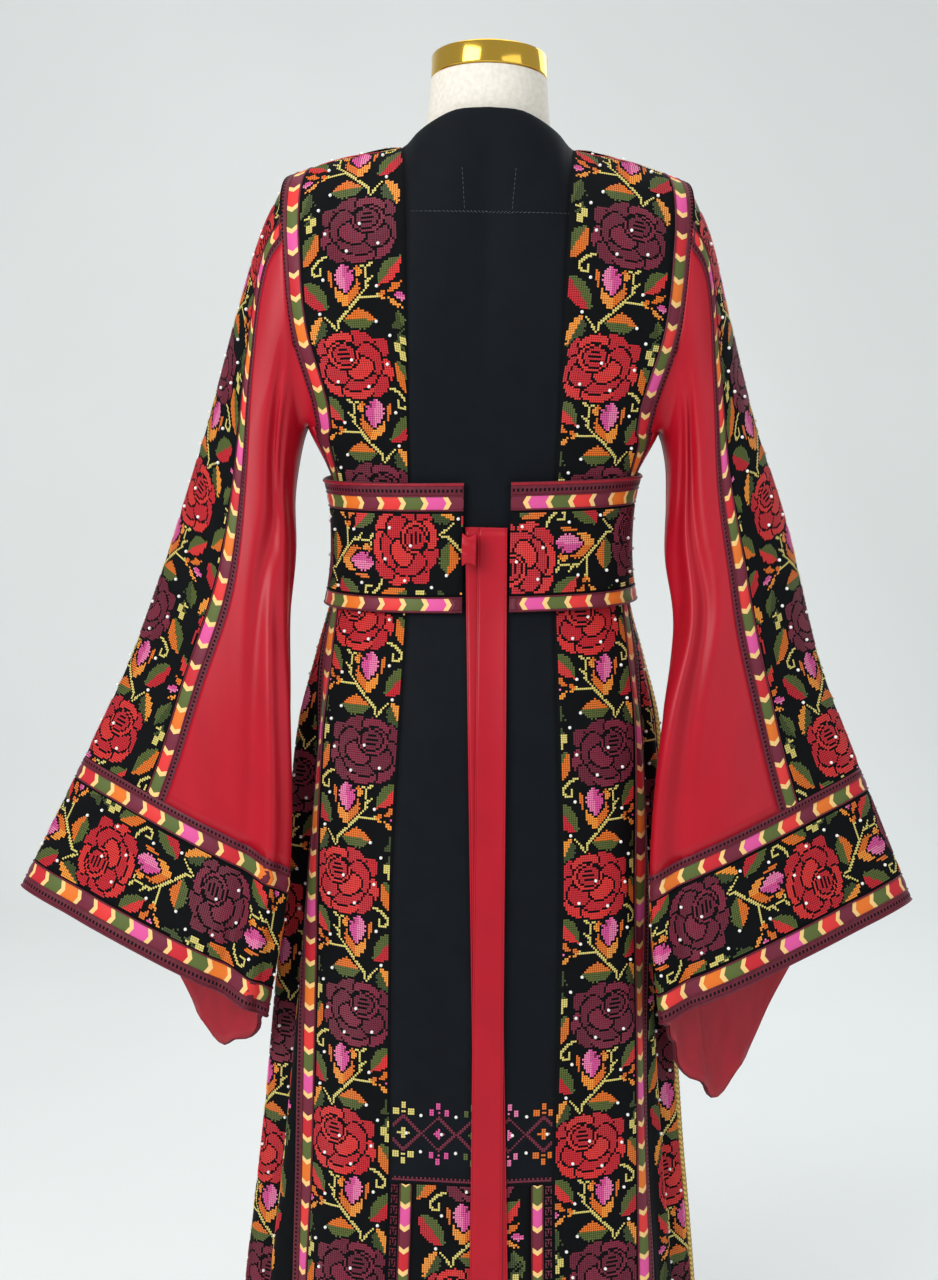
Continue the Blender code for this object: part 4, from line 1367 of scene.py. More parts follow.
@dataclass
class Seams:
    """Where the seams lie on level courses, measured from the centre back, for one side."""

    heights: Array
    courses: Courses
    side: int
    braid: float = 0.0
    lines: dict[str, Array] = field(default_factory=dict)

    def __post_init__(self) -> None:
        """Works out every seam."""
        girth = read_rows(SIZES.girths, [row.height for row in SIZES.girths], self.heights)
        total = self.courses.total(self.side)
        back, front, band = girth[:, 5], total - girth[:, 6], girth[:, 7]
        back_border, front_border = back + band + SIZES.border, front - band - SIZES.border
        middle = (back_border + front_border) / 2.0
        self.lines = {
            "back": back,
            "back_band": back + band,
            "back_border": back_border,
            "braid_back": middle - self.braid / 2.0,
            "braid_front": middle + self.braid / 2.0,
            "front_border": front_border,
            "front_band": front - band,
            "front": front,
            "total": total,
        }

    def patch(self, start: str, end: str, columns: int) -> Patch:
        """The cloth between two seams."""
        points = self.courses.sample(self.side * self.lines[start], self.side * self.lines[end], columns)
        return Patch(points)


@dataclass
class Bodice:
    """The dress above the waist seam."""

    top_rows: int = 34
    low_rows: int = 14
    band_columns: int = 16

    def build(self) -> None:
        """Makes the centre panels, rose bands, borders and gussets."""
        turns = np.linspace(1.0, 0.0, self.top_rows)
        heights = np.linspace(SIZES.armpit, SIZES.waist, self.low_rows)[1:]
        levels = level_courses(heights)
        seams = {side: Seams(heights, levels, side.value) for side in Side}
        foot = read_rows(SIZES.girths, [row.height for row in SIZES.girths], np.array([SIZES.armpit]))[0]
        for face, word in ((-1, "back"), (1, "front")):
            raised = raised_courses(turns, face)
            courses = (levels if face < 0 else levels.turned()).under(raised)
            corner = foot[5] if face < 0 else foot[6]
            seam_x = corner + (SIZES.neck_corner - corner) * turns
            seam = self.length_at_x(raised, seam_x)
            armhole = raised.total()
            low = {side: self.low_lines(seams[side], face) for side in Side}
            right, left = low[Side.RIGHT], low[Side.LEFT]
            inner = {side: np.concatenate([seam, low[side][0]]) for side in Side}
            centre = courses.sample(-inner[Side.LEFT], inner[Side.RIGHT], 31)
            name = f"bodice_{word}_centre"
            patch = Patch(centre)
            extras = Topstitch().build(patch) if face < 0 else []
            Bench.cloth(
                f"{name}_cloth", patch, Finishes.CREPE, "black_crepe", node=name, rests=["form_body"],
                extras=extras
            )
            for side, lines in ((Side.RIGHT, right), (Side.LEFT, left)):
                middle = np.concatenate([armhole - SIZES.border, lines[1]])
                outer = np.concatenate([armhole, lines[2]])
                self.band(courses, inner[side], middle, side, word)
                self.edge(courses, middle, outer, side, word)
        for side in Side:
            self.gusset(side)

    @staticmethod
    def length_at_x(courses: Courses, x: Array) -> Array:
        """Length along each raised line at which it reaches a distance from the middle."""
        lines, lengths = courses.sides[1], courses.lengths[1]
        return np.array([np.interp(x[i], lines[i, :, 0], lengths[i]) for i in range(len(lines))])

    @staticmethod
    def low_lines(seams: Seams, face: int) -> tuple[Array, Array, Array]:
        """The three seams of the rose band and its border below the armpit, from this face's middle."""
        lines = seams.lines
        if face < 0:
            return lines["back"], lines["back_band"], lines["back_border"]
        return tuple(lines["total"] - lines[name] for name in ("front", "front_band", "front_border"))

    def band(self, courses: Courses, start: Array, end: Array, side: Side, word: str) -> None:
        """Makes one rose band, from the shoulder to the waist."""
        patch = Patch(courses.sample(side.value * start, side.value * end, self.band_columns))
        name = f"bodice_{word}_band_{side.word}"
        mirrored = side is Side.LEFT
        stitching = Stitching(ROSES, first_row=-34.0 if word == "back" else 52.0, mirrored=mirrored)
        extras = cross_stitch(f"{name}_stitches", patch, stitching)
        Bench.cloth(
            f"{name}_cloth", patch, Finishes.GROUND, "rose_embroidery", node=name, rests=["form_body"],
            extras=extras
        )

    def edge(self, courses: Courses, start: Array, end: Array, side: Side, word: str) -> None:
        """Makes the border at the armhole."""
        patch = Patch(courses.sample(side.value * start, side.value * end, 5))
        name = f"bodice_{word}_border_{side.word}"
        extras = border(name, patch, BorderStyle.SIDE, True, start=side.value)
        Bench.cloth(
            f"{name}_cloth", patch, Finishes.PIPING, "striped_border", node=name, rests=["form_body"],
            extras=extras
        )

    def gusset(self, side: Side) -> None:
        """Makes the satin piece under the arm."""
        heights = np.linspace(SIZES.armpit, SIZES.waist, self.low_rows)
        seams = Seams(heights, level_courses(heights), side.value)
        name = f"bodice_gusset_{side.word}"
        patch = seams.patch("back_border", "front_border", 14)
        Bench.cloth(f"{name}_cloth", patch, Finishes.SATIN, "red_satin", node=name, rests=["form_body"])


@dataclass
class Topstitch:
    """The stitches that show on the plain back panel, where the neck facing and label are sewn inside."""

    run: float = 0.0030
    gap: float = 0.0014
    width: float = 0.0007
    facing_foot: float = 1.360
    facing_span: tuple[float, float] = (-0.080, 0.088)
    box_x: tuple[float, float] = (-0.027, 0.029)
    box_top: float = 1.402

    @staticmethod
    def down_to(patch: Patch, x: float, heights: Array) -> Array:
        """Lengths down the patch at which it reaches heights, at one distance across."""
        downs = np.linspace(0.0, 0.25, 80)
        reached = patch.place(np.full(len(downs), x), downs, np.zeros(len(downs)))[:, 2]
        return np.interp(-heights, -reached, downs)

    def build(self, patch: Patch) -> list[bpy.types.Object]:
        """Works the three lines of stitches."""
        period = self.run + self.gap
        spots = []
        for x in np.arange(*self.facing_span, period):
            spots.append((x, self.down_to(patch, x, np.array([self.facing_foot]))[0], True))
        for x in self.box_x:
            heights = np.arange(self.facing_foot + period, self.box_top, period)
            spots += [(x, down, False) for down in self.down_to(patch, x, heights)]
        across = np.array([spot[0] for spot in spots])
        down = np.array([spot[1] for spot in spots])
        wide = np.array([self.run if spot[2] else self.width for spot in spots]) / 2.0
        tall = np.array([self.width if spot[2] else self.run for spot in spots]) / 2.0
        corners = ((-1, -1), (1, -1), (1, 1), (-1, 1))
        flat = np.full(len(across), 0.0003)
        points = [patch.place(across + u * wide, down + v * tall, flat) for u, v in corners]
        points.append(patch.place(across, down, np.full(len(across), 0.0008)))
        faces = np.array([(0, 1, 4), (1, 2, 4), (2, 3, 4), (3, 0, 4)])
        if patch.facing < 0.0:
            faces = faces[:, ::-1]
        slots = np.zeros(len(across), int)
        finish = [Finishes.get(Finishes.TOPSTITCH)]
        return [tiled_object("back_facing_topstitch", np.stack(points, axis=1), faces, slots, finish, False)]


@dataclass
class Skirt:
    """The dress below the waist seam."""

    rows: int = 118

    def build(self) -> None:
        """Makes the centre panels, the lower back panel and both sides."""
        heights = np.linspace(SIZES.waist, SIZES.hem, self.rows)
        courses = level_courses(heights)
        seams = {side: Seams(heights, courses, side.value, SIZES.braid) for side in Side}
        self.back_centre()
        front = courses.turned()
        spans = {side: seams[side].lines["total"] - seams[side].lines["front"] for side in Side}
        patch = Patch(front.sample(-spans[Side.LEFT], spans[Side.RIGHT], 27))
        self.plain("skirt_front_centre", patch, [])
        for side in Side:
            self.side(seams[side], side)

    def plain(self, node: str, patch: Patch, extras: Sequence[bpy.types.Object]) -> None:
        """Makes a plain black panel."""
        Bench.cloth(
            f"{node}_cloth", patch, Finishes.CREPE, "black_crepe", held="hung", node=node,
            rests=["form_body"],
            extras=extras,
        )

    def back_centre(self) -> None:
        """Makes the plain back panel with its row of lozenges, and the panel below it."""
        upper = np.linspace(SIZES.waist, SIZES.motif_seam, 70)
        courses = level_courses(upper)
        half = Seams(upper, courses, 1).lines["back"]
        patch = Patch(courses.sample(-half, half, 27))
        chart = ChartBook.diamonds()
        rows_above = int(patch.length / 0.0021) - chart.cells.shape[0]
        lozenges = self.lozenges(patch, chart, rows_above)
        self.plain("skirt_back_centre", patch, lozenges)

        lower = np.linspace(SIZES.motif_seam, SIZES.hem, 50)
        courses = level_courses(lower)
        seams = Seams(lower, courses, 1)
        inner = seams.lines["back"] - SIZES.border
        patch = Patch(courses.sample(-inner, inner, 21))
        stitching = Stitching(ROSES, first_row=28.0)
        extras = cross_stitch("lower_panel_stitches", patch, stitching)
        Bench.cloth(
            "skirt_back_lower_panel_cloth", patch, Finishes.GROUND, "rose_embroidery", held="hung",
            node="skirt_back_lower_panel", rests=["form_body"], extras=extras,
        )
        for side in Side:
            points = courses.sample(side.value * inner, side.value * seams.lines["back"], 5)
            patch = Patch(points)
            name = f"skirt_back_lower_border_{side.word}"
            stripe = chevrons(f"{name}_chevrons", patch, Ribbon(0.06, 0.50), Stripe(), start=2)
            cords = [
                piping(f"{name}_piping_{i}", patch, Ribbon(low, low + 0.06), Finishes.PIPING)
                for i, low in enumerate((0.0, 0.50))
            ]
            key = cross_stitch(
                f"{name}_key", patch.strip(0.56, 1.0),
                Stitching(ChartBook.key(), margin=0.0, pitch=0.0013, beads=False)
            )
            Bench.cloth(
                f"{name}_cloth", patch, Finishes.GROUND, "striped_border", held="hung", node=name,
                rests=["form_body"], extras=[stripe, *cords, *key],
            )

    @staticmethod
    def lozenges(patch: Patch, chart: Chart, rows_above: int) -> list[bpy.types.Object]:
        """Works the row of lozenges just above the lower panel's seam."""
        tall = Chart(chart.cells.shape[1], int(patch.length / 0.0021) + 1)
        tall.cells[rows_above : rows_above + chart.cells.shape[0]] = chart.cells
        tall.beads = [(column, row + rows_above) for column, row in chart.beads]
        return cross_stitch("lozenge_stitches", patch, Stitching(tall))

    def side(self, seams: Seams, side: Side) -> None:
        """Makes the bands, borders, side pieces and braid of one side."""
        mirrored = side is Side.LEFT
        shift = 0.0 if side is Side.RIGHT else 7.0
        bands = (
            ("skirt_back_band", "back", "back_band", 16, 49.0),
            ("skirt_side_back", "back_border", "braid_back", 26, 20.0 + shift),
            ("skirt_side_front", "braid_front", "front_border", 26, 75.0 + shift),
            ("skirt_front_band", "front_band", "front", 16, 49.0),
        )
        for word, start, end, columns, first_row in bands:
            name = f"{word}_{side.word}"
            patch = seams.patch(start, end, columns)
            extras = cross_stitch(
                f"{name}_stitches", patch,
                Stitching(ROSES, first_row=first_row, mirrored=mirrored)
            )
            Bench.cloth(
                f"{name}_cloth", patch, Finishes.GROUND, "rose_embroidery", held="hung", node=name,
                rests=["form_body"], extras=extras,
            )
        for word, start, end, from_start in (
            ("skirt_back_border", "back_band", "back_border", True),
            ("skirt_front_border", "front_border", "front_band", False),
        ):
            name = f"{word}_{side.word}"
            patch = seams.patch(start, end, 6)
            extras = border(name, patch, BorderStyle.SIDE, from_start, start=3)
            Bench.cloth(
                f"{name}_cloth", patch, Finishes.PIPING, "striped_border", held="hung", node=name,
                rests=["form_body"], extras=extras,
            )
        name = f"skirt_braid_{side.word}"
        patch = seams.patch("braid_back", "braid_front", 4)
        Bench.cloth(
            f"{name}_cloth", patch, Finishes.BRAID, "gold_braid", held="hung", node=name, rests=["form_body"],
            extras=[Braid().build(f"{name}_weave", patch)],
        )


@dataclass
class Braid:
    """A woven metallic braid: light and dark yarns in close chevrons."""

    block: float = 0.0030
    gap: float = 0.0026
    bend: float = 0.0045

    def build(self, name: str, patch: Patch) -> bpy.types.Object:
        """Weaves the braid on a patch."""
        across = (-0.96, -0.5, 0.0, 0.5, 0.96)
        steps = np.arange(-self.bend, patch.length + self.block, (self.block + self.gap) / 2.0)
        slant = self.bend * (1.0 - np.abs(np.array(across)))
        lines = steps[:, None] + slant[None, :]
        high = np.where(np.arange(len(steps)) % 2 == 0, 0.0012, 0.0006)[:, None]
        lifts = high * np.array([0.4, 1.0, 0.7, 1.0, 0.4])[None, :]
        inside = np.flatnonzero((lines.max(axis=1) > 0.0) & (lines.min(axis=1) < patch.length))
        slots = np.repeat((inside[:-1] % 2)[:, None], len(across) - 1, axis=1)
        materials = [Finishes.get(Finishes.BRAID_LIGHT), Finishes.get(Finishes.BRAID)]
        return ribbon_object(
            name, patch, Ribbon(0.0, 1.0), across, lines[inside], lifts[inside], slots,
            materials
        )


@dataclass
class BellSleeve:
    """One hanging sleeve: rose band, borders, satin gores and the deep cuff."""

    side: Side
    rose_aside: float = 0.026
    first_row: float = -70.0
    rows: int = 78
    cuff_rows: int = 9
    round_columns: int = 97

    def build(self) -> None:
        """Makes the sleeve and its cuff."""
        places = np.linspace(0.0, SIZES.cuff_top, self.rows)
        courses = sleeve_courses(places, self.side)
        band = read_rows(SIZES.sections, range(len(SIZES.sections)), places)[:, 8]
        half, total = courses.total() / 2.0, courses.total()
        edge = band + SIZES.border
        self.band(courses, band)
        pieces = (
            ("back_border", band, edge, 5, True),
            ("front_border", -edge, -band, 5, False),
        )
        for word, start, end, columns, from_start in pieces:
            name = f"sleeve_{self.side.word}_{word}"
            patch = self.patch(courses, start, end, columns)
            extras = border(name, patch, BorderStyle.SIDE, from_start, start=1)
            self.cloth(name, patch, Finishes.PIPING, "striped_border", extras)
        for word, start, end in (("back_gore", edge, half), ("front_gore", half, total - edge)):
            patch = self.patch(courses, start, end, 34)
            self.cloth(f"sleeve_{self.side.word}_{word}", patch, Finishes.SATIN, "red_satin", [])
        self.cuff()

    @staticmethod
    def patch(courses: Courses, start: Array, end: Array, columns: int) -> Patch:
        """A piece of the sleeve, with outwards taken from the sleeve's own middle."""
        middle = courses.sides[1].mean(axis=1)[:, None]
        return Patch(courses.sample(start, end, columns), middle)

    def cloth(
        self, node: str, patch: Patch, finish: Finish, slot: str, extras: Sequence[bpy.types.Object]
    ) -> bpy.types.Object:
        """Makes one piece of the sleeve."""
        return Bench.cloth(f"{node}_cloth", patch, finish, slot, held="hung", node=node, extras=extras)

    def band(self, courses: Courses, band: Array) -> None:
        """Makes the rose band, with one column of roses behind the fold and one before it."""
        name = f"sleeve_{self.side.word}_band"
        patch = self.patch(courses, -band, band, 61)
        extras = []
        for word, shift, first, mirrored in (
            ("back", self.rose_aside, self.first_row, True),
            ("side", self.rose_aside - 0.107, self.first_row + Rows.REPEAT / 2, False),
            ("back_edge", self.rose_aside + 0.107, self.first_row + Rows.REPEAT / 2, False),
        ):
            stitching = Stitching(ROSES, first_row=first, mirrored=mirrored, shift=shift, margin=0.0005)
            extras += cross_stitch(f"{name}_{word}_stitches", patch, stitching)
        self.cloth(name, patch, Finishes.GROUND, "rose_embroidery", extras)

    def cuff(self) -> None:
        """Makes the cuff's band, borders and lining."""
        trim, hem = SIZES.cuff_top_trim, SIZES.cuff_hem_trim
        words = (
            ("top_border", 0.0, trim, BorderStyle.CUFF_TOP, False),
            ("band", trim, hem, None, False),
            ("hem_border", hem, 1.0, BorderStyle.CUFF_HEM, True),
        )
        for word, start, end, style, from_start in words:
            name = f"cuff_{self.side.word}_{word}"
            places = SIZES.cuff_top + np.linspace(start, end, self.cuff_rows)
            courses = sleeve_courses(places, self.side)
            patch = self.patch(courses, np.zeros(len(places)), courses.total(), self.round_columns)
            turned = patch.turned()
            if style is None:
                aside = 0.116 if self.side is Side.RIGHT else 0.094
                stitching = Stitching(ROSES, first_row=Rows.RED_ROSE - aside / 0.0021, mirrored=True)
                extras = cross_stitch(f"{name}_stitches", turned, stitching)
                self.cloth(name, patch, Finishes.GROUND, "rose_embroidery", extras)
            else:
                extras = border(name, turned, style, from_start, start=4)
                self.cloth(name, patch, Finishes.PIPING, "striped_border", extras)
        self.lining()

    def lining(self) -> None:
        """Makes the satin lining that shows inside the front of the cuff."""
        name = f"cuff_{self.side.word}_lining"
        places = SIZES.cuff_top + np.linspace(0.06, 0.99, 16)
        courses = sleeve_courses(places, self.side)
        patch = self.patch(courses, np.zeros(len(places)), courses.total(), self.round_columns)
        inner = Patch(patch.points - patch.normals * (SIZES.cloth + 0.0008), facing=patch.facing)
        self.cloth(name, inner, Finishes.LINING, "red_satin", [])


@dataclass
class Belt:
    """The wide belt, open at the centre back."""

    top: float = 1.107
    bottom: float = 0.983
    top_trim: float = 0.027
    bottom_trim: float = 0.015
    lift: float = 0.0071
    wall: float = 0.0026
    tilt: float = 0.030
    end_right: float = 0.0265
    end_left: float = 0.0180
    columns: int = 121

    def points(self, high: float, low: float, rows: int) -> Array:
        """Points of a level part of the belt, from its right end round the front to its left end."""
        heights = np.linspace(high, low, rows)
        courses = level_courses(heights)
        ring = np.concatenate(
            [courses.sides[1], courses.sides[-1][:, -2:0:-1], courses.sides[1][:, :1]],
            axis=1
        )
        ring = ring.copy()
        ring[..., 2] += self.tilt * ring[..., 0]
        lengths = lengths_along(ring)
        spots = np.linspace(0.0, 1.0, self.columns)
        found = np.empty((rows, self.columns, 3))
        for row in range(rows):
            span = self.end_right + (lengths[row, -1] - self.end_right - self.end_left) * spots
            for axis in range(3):
                found[row, :, axis] = np.interp(span, lengths[row], ring[row, :, axis])
        out = np.cross(np.gradient(found, axis=1), np.array([0.0, 0.0, -1.0]))
        out /= np.linalg.norm(out, axis=2, keepdims=True)
        outward = np.sign((out * found * np.array([1.0, 1.0, 0.0])).sum(axis=2, keepdims=True))
        return found + out * outward * self.lift

    def build(self) -> None:
        """Makes the belt's rose band and its borders."""
        high, low = self.top - self.top_trim, self.bottom + self.bottom_trim
        parts = (
            ("belt_top_border", self.top, high, BorderStyle.BELT_TOP, 6),
            ("belt_band", high, low, None, 14),
            ("belt_bottom_border", low, self.bottom, BorderStyle.BELT_BOTTOM, 5),
        )
        for name, start, end, style, rows in parts:
            patch = Patch(self.points(start, end, rows), (0.0, 0.0, (start + end) / 2.0))
            turned = patch.turned()
            halves = ((turned, "right", False), (turned.flipped(), "left", True))
            extras = []
            for whole, word, flipped in halves:
                half = whole.rows(self.columns // 2 + 1)
                if style is None:
                    first = Rows.RED_ROSE - (0.010 if word == "right" else 0.054) / 0.0021
                    stitching = Stitching(ROSES, first_row=first, mirrored=not flipped)
                    extras += cross_stitch(f"{name}_{word}_stitches", half, stitching)
                else:
                    from_start = style is BorderStyle.BELT_BOTTOM
                    upward = half.flipped()
                    extras += border(f"{name}_{word}", upward, style, from_start, start=2)
            finish, slot = Finishes.PIPING, "striped_border"
            if style is None:
                finish, slot = Finishes.GROUND, "rose_embroidery"
            Bench.cloth(f"{name}_cloth", patch, finish, slot, node=name, extras=extras, wall=self.wall)


@dataclass
class Sash:
    """The satin sash: a knot between the belt's ends and two tails."""

    knot_place: tuple[float, float, float] = (-0.0125, -0.1065, 1.0440)
    knot_size: tuple[float, float, float] = (0.014, 0.012, 0.032)
    top: float = 1.064

    def build(self) -> None:
        """Makes the tails and the knot."""
        self.tail("sash_tail_under", 0.0030, (-0.0165, 0.0130), (0.0085, 0.0400), 0.225)
        self.tail("sash_tail_over", 0.0050, (-0.0040, 0.0240), (0.0000, 0.0315), 0.205)
        self.knot()

    def tail(
        self, name: str, lift: float, head: tuple[float, float], foot: tuple[float, float],
        end: float
    ) -> None:
        """Makes one hanging tail with stitched edges."""
        heights = np.linspace(self.top, end, 96)
        share = (self.top - heights) / (self.top - end)
        courses = level_courses(heights)
        start = head[0] + (foot[0] - head[0]) * share
        stop = head[1] + (foot[1] - head[1]) * share
        points = courses.sample(start, stop, 9)
        points[..., 1] -= lift
        across = np.linspace(-1.0, 1.0, 9)[None, :]
        wave = np.sin(9.0 * share + 1.3 * across[0, 0])[:, None] * 0.0008 + 0.0009 * across**2
        points[..., 1] -= wave
        patch = Patch(points)
        hems = [
            piping(f"{name}_hem_{i}", patch, Ribbon(low, low + 0.05), Finishes.SATIN, 0.0005)
            for i, low in enumerate((0.0, 0.95))
        ]
        Bench.cloth(
            f"{name}_cloth", patch, Finishes.SATIN, "red_satin", "hung", name, ["sash_knot"], hems,
            0.0009
        )

    def knot(self) -> None:
        """Makes the gathered knot."""
        mesh = bmesh.new()
        bmesh.ops.create_cube(mesh, size=1.0)
        bmesh.ops.subdivide_edges(mesh, edges=mesh.edges[:], cuts=9, use_grid_fill=True)
        for vert in mesh.verts:
            x, y, z = vert.co * 2.0
            pinch = 1.0 - 0.22 * (1.0 - x * x)
            pleat = 0.10 * math.sin(9.0 * z + 2.0 * x) + 0.05 * math.sin(17.0 * z - 3.0 * x)
            round_off = (1.0 - 0.30 * z * z) * (1.0 - 0.22 * x * x)
            vert.co = Vector((x * (1.0 - 0.08 * z * z), (y * round_off) * (1.0 + pleat), z * pinch)) * 0.5
        bmesh.ops.scale(mesh, vec=self.knot_size, verts=mesh.verts)
        bmesh.ops.translate(mesh, vec=self.knot_place, verts=mesh.verts)
        bmesh.ops.recalc_face_normals(mesh, faces=mesh.faces)
        data = bpy.data.meshes.new("sash_knot_cloth")
        mesh.to_mesh(data)
        mesh.free()
        data.materials.append(Finishes.get(Finishes.SATIN))
        data.shade_smooth()
        piece = linked("sash_knot_cloth", data)
        smooth = piece.modifiers.new("smooth", "SUBSURF")
        smooth.levels = smooth.render_levels = 1
        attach(piece, "root")
        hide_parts("sash_knot")


class FormRow(NamedTuple):
    """One level of the dress form's padded body."""

    height: float
    half_width: float
    back: float
    front: float
    power: float


@dataclass
class DressForm:
    """The limbless dress form: linen body, gold neck cap, pole and base."""

    rows: tuple[FormRow, ...] = (
        FormRow(0.800, 0.128, 0.080, 0.078, 2.2),
        FormRow(0.812, 0.146, 0.094, 0.090, 2.2),
        FormRow(0.880, 0.154, 0.104, 0.104, 2.2),
        FormRow(0.960, 0.139, 0.086, 0.096, 2.2),
        FormRow(1.040, 0.128, 0.077, 0.092, 2.2),
        FormRow(1.120, 0.136, 0.080, 0.106, 2.2),
        FormRow(1.200, 0.149, 0.088, 0.107, 2.2),
        FormRow(1.280, 0.163, 0.088, 0.088, 2.2),
        FormRow(1.340, 0.170, 0.077, 0.067, 2.2),
        FormRow(1.375, 0.156, 0.063, 0.052, 2.2),
        FormRow(1.396, 0.122, 0.056, 0.048, 2.1),
        FormRow(1.410, 0.086, 0.054, 0.047, 2.0),
        FormRow(1.428, 0.066, 0.054, 0.047, 2.0),
        FormRow(1.455, 0.0595, 0.0575, 0.050, 2.0),
        FormRow(1.489, 0.0565, 0.0555, 0.0500, 2.0),
    )
    cap_tilt: float = math.radians(11.0)
    cap_radius: float = 0.0562
    cap_height: float = 0.0225
    cap_lift: float = 0.012

    def build(self) -> None:
        """Makes the four pieces."""
        self.body()
        self.cap()
        self.plate("form_pole_tube", "form_pole", 0.0125, 0.0)
        self.plate("form_base_plate", "form_base", 0.150, 0.003)

    def body(self) -> None:
        """Makes the linen body, smooth and closed."""
        heights = np.concatenate([np.linspace(0.800, 1.36, 60), np.linspace(1.365, 1.489, 40)])
        row = read_rows(self.rows, [r.height for r in self.rows], heights)
        angle = np.linspace(0.0, 2.0 * math.pi, 97)[None, :]
        power = 2.0 / row[:, 4, None]
        depth = np.where(np.sin(angle) > 0.0, row[:, 3, None], row[:, 2, None])
        x = np.sign(np.cos(angle)) * np.abs(np.cos(angle)) ** power * row[:, 1, None]
        y = np.sign(np.sin(angle)) * np.abs(np.sin(angle)) ** power * depth
        z = np.broadcast_to(heights[:, None], x.shape).copy()
        lean = smooth_step((heights - 1.44) / (heights[-1] - 1.44))[:, None]
        z -= y * math.tan(self.cap_tilt) * lean
        points = np.stack([x, y, z], axis=2)[::-1]
        piece = grid_object("form_linen_cover", points, -1.0, [Finishes.get(Finishes.LINEN)])
        mesh = bmesh.new()
        mesh.from_mesh(piece.data)
        bmesh.ops.remove_doubles(mesh, verts=mesh.verts, dist=1e-6)
        bmesh.ops.holes_fill(mesh, edges=[edge for edge in mesh.edges if edge.is_boundary], sides=0)
        bmesh.ops.recalc_face_normals(mesh, faces=mesh.faces)
        mesh.to_mesh(piece.data)
        mesh.free()
        piece.data.set_sharp_from_angle(angle=math.radians(50.0))
        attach(piece, "root")
        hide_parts("form_body")

    def cap(self) -> None:
        """Makes the polished neck cap, leaning forwards with the neck."""
        mesh = self.disc(self.cap_radius, self.cap_height, 0.0022)
        turn = Euler((-self.cap_tilt, 0.0, 0.0)).to_matrix()
        bmesh.ops.rotate(mesh, matrix=turn, verts=mesh.verts, cent=(0.0, 0.0, 0.0))
        bmesh.ops.translate(mesh, vec=(0.0, 0.0, self.rows[-1].height + self.cap_lift), verts=mesh.verts)
        self.finish(mesh, "form_gold_cap", "form_neck_cap", Finishes.GOLD, "polished_gold")

    def plate(self, name: str, node: str, radius: float, bevel: float) -> None:
        """Makes an upright round piece in the place of its CAD node."""
        low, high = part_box(node)
        mesh = self.disc(radius, high[2] - low[2], bevel)
        bmesh.ops.translate(mesh, vec=(0.0, 0.0, (low[2] + high[2]) / 2.0), verts=mesh.verts)
        self.finish(mesh, name, node, Finishes.STEEL, "painted_steel")

    @staticmethod
    def disc(radius: float, height: float, bevel: float) -> bmesh.types.BMesh:
        """A round plate with rounded rims, about Z and centred on the origin."""
        mesh = bmesh.new()
        bmesh.ops.create_cone(mesh, cap_ends=True, segments=96, radius1=radius, radius2=radius, depth=height)
        if bevel:
            rims = [edge for edge in mesh.edges if abs(edge.verts[0].co.z - edge.verts[1].co.z) < 1e-9]
            bmesh.ops.bevel(
                mesh, geom=rims, offset=bevel, affect="EDGES", segments=4, profile=0.5,
                material=-1
            )
        return mesh

    @staticmethod
    def finish(mesh: bmesh.types.BMesh, name: str, node: str, finish: Finish, slot: str) -> None:
        """Turns a mesh into a piece that stands for its CAD node."""
        data = bpy.data.meshes.new(name)
        mesh.to_mesh(data)
        mesh.free()
        data.materials.append(Finishes.get(finish))
        data.shade_smooth()
        data.set_sharp_from_angle(angle=math.radians(40.0))
        piece = linked(name, data)
        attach(piece, "root")
        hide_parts(node)


# ---------------------------------------------------------------- studio


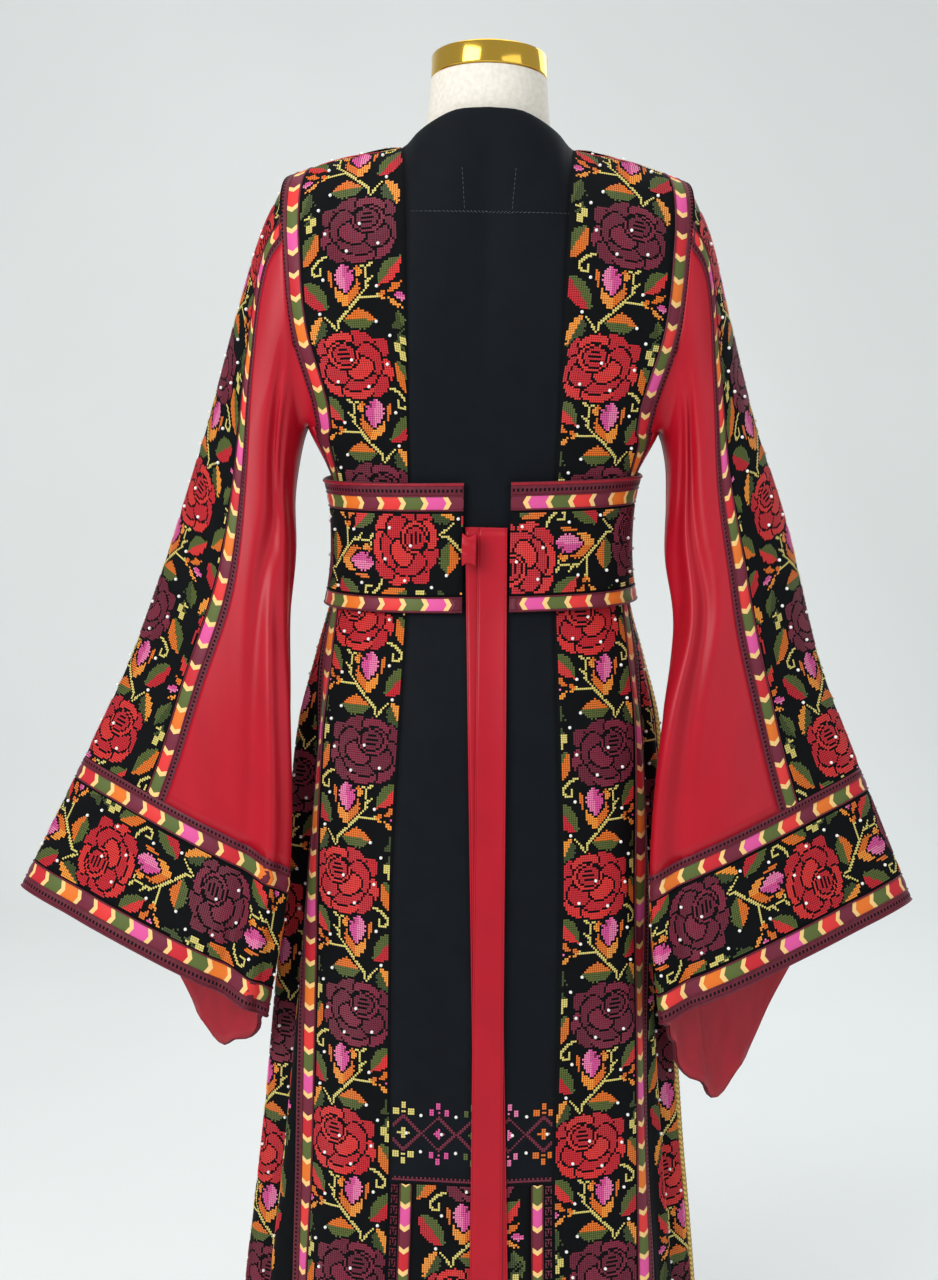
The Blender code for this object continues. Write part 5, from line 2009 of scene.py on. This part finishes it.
@dataclass
class Studio:
    """Camera, lights, floor and backdrop."""

    frame_width: int = 938
    focal: float = 2000.0  # in the units of frame_width
    eye: tuple[float, float, float] = (-0.011, -2.0, 1.24)
    pitch: float = math.radians(8.5)
    roll: float = math.radians(0.9)
    sensor: float = 36.0

    def build(self) -> None:
        """Sets the scene up."""
        self.camera()
        self.backdrop()
        self.light("key", (-1.7, -2.2, 2.3), 66.0, 1.6, "#FFFFFF")
        self.light("fill", (2.0, -2.0, 1.6), 15.0, 2.0, "#F4F8FF")
        self.light("top", (0.0, 0.3, 3.2), 26.0, 2.0, "#FFFFFF")
        self.light("rim", (1.6, 1.8, 2.0), 18.0, 1.6, "#F4F8FF")
        world = bpy.data.worlds.new("studio")
        world.use_nodes = True
        background = world.node_tree.nodes["Background"]
        background.inputs["Color"].default_value = linear("#EDF1F4")
        background.inputs["Strength"].default_value = 0.55
        bpy.context.scene.world = world
        bpy.context.scene.view_settings.view_transform = "Standard"

    def camera(self) -> None:
        """Places the camera behind the wearer, at eye height and looking a little down."""
        data = bpy.data.cameras.new("camera")
        data.sensor_fit = "HORIZONTAL"
        data.sensor_width = self.sensor
        data.lens = self.focal / self.frame_width * self.sensor
        made = bpy.data.objects.new("camera", data)
        made.location = self.eye
        look = Euler((math.pi / 2.0 - self.pitch, 0.0, 0.0)).to_matrix()
        made.rotation_euler = (look @ Euler((0.0, 0.0, self.roll)).to_matrix()).to_euler()
        bpy.context.scene.collection.objects.link(made)
        bpy.context.scene.camera = made

    @staticmethod
    def backdrop() -> None:
        """Makes a pale floor that curves up into a backdrop."""
        angle = np.linspace(0.0, math.pi / 2.0, 12)
        radius, far = 0.8, 2.2
        y = np.concatenate([[-4.0], far + radius * np.sin(angle), [far + radius]])
        z = np.concatenate([[0.0], radius * (1.0 - np.cos(angle)), [4.5]])
        x = np.linspace(-5.0, 5.0, 3)
        points = np.stack(
            [
                np.broadcast_to(x[None, :], (len(y), 3)), np.repeat(y[:, None], 3, 1),
                np.repeat(z[:, None], 3, 1)
            ], axis=2
        )
        finish = Finish("pale_floor", "#ECEEEC", 0.95, specular=0.1, second="#E9EBE9", mottle_mm=900.0)
        pale = Finishes.get(finish)
        Studio.clear_from_behind(pale)
        piece = grid_object("floor", points, 1.0, [pale])
        piece.location.z = -0.0005

    @staticmethod
    def clear_from_behind(made: bpy.types.Material) -> None:
        """Lets a view from behind the backdrop see through it."""
        tree = made.node_tree
        behind = add_node(tree, "ShaderNodeNewGeometry", {}, {}).outputs["Backfacing"]
        clear = add_node(tree, "ShaderNodeBsdfTransparent", {}, {}).outputs["BSDF"]
        solid = tree.nodes["Principled BSDF"].outputs["BSDF"]
        mix = add_node(tree, "ShaderNodeMixShader", {}, {0: behind, 1: solid, 2: clear})
        tree.links.new(mix.outputs["Shader"], tree.nodes["Material Output"].inputs["Surface"])

    @staticmethod
    def light(name: str, place: tuple[float, float, float], power: float, size: float, color: str) -> None:
        """Hangs one large soft light that looks at the dress."""
        data = bpy.data.lights.new(name, "AREA")
        data.energy, data.size = power, size
        data.color = linear(color)[:3]
        made = bpy.data.objects.new(name, data)
        made.location = place
        made.rotation_euler = (Vector((0.0, 0.0, 1.0)) - Vector(place)).to_track_quat("-Z", "Y").to_euler()
        bpy.context.scene.collection.objects.link(made)


def main() -> None:
    """Builds every sub-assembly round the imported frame."""
    logging.basicConfig(level=logging.INFO, format="%(name)s: %(message)s")
    Studio().build()
    DressForm().build()
    Bodice().build()
    Skirt().build()
    for side in Side:
        BellSleeve(side).build()
    Belt().build()
    Sash().build()


if __name__ == "__main__":
    main()
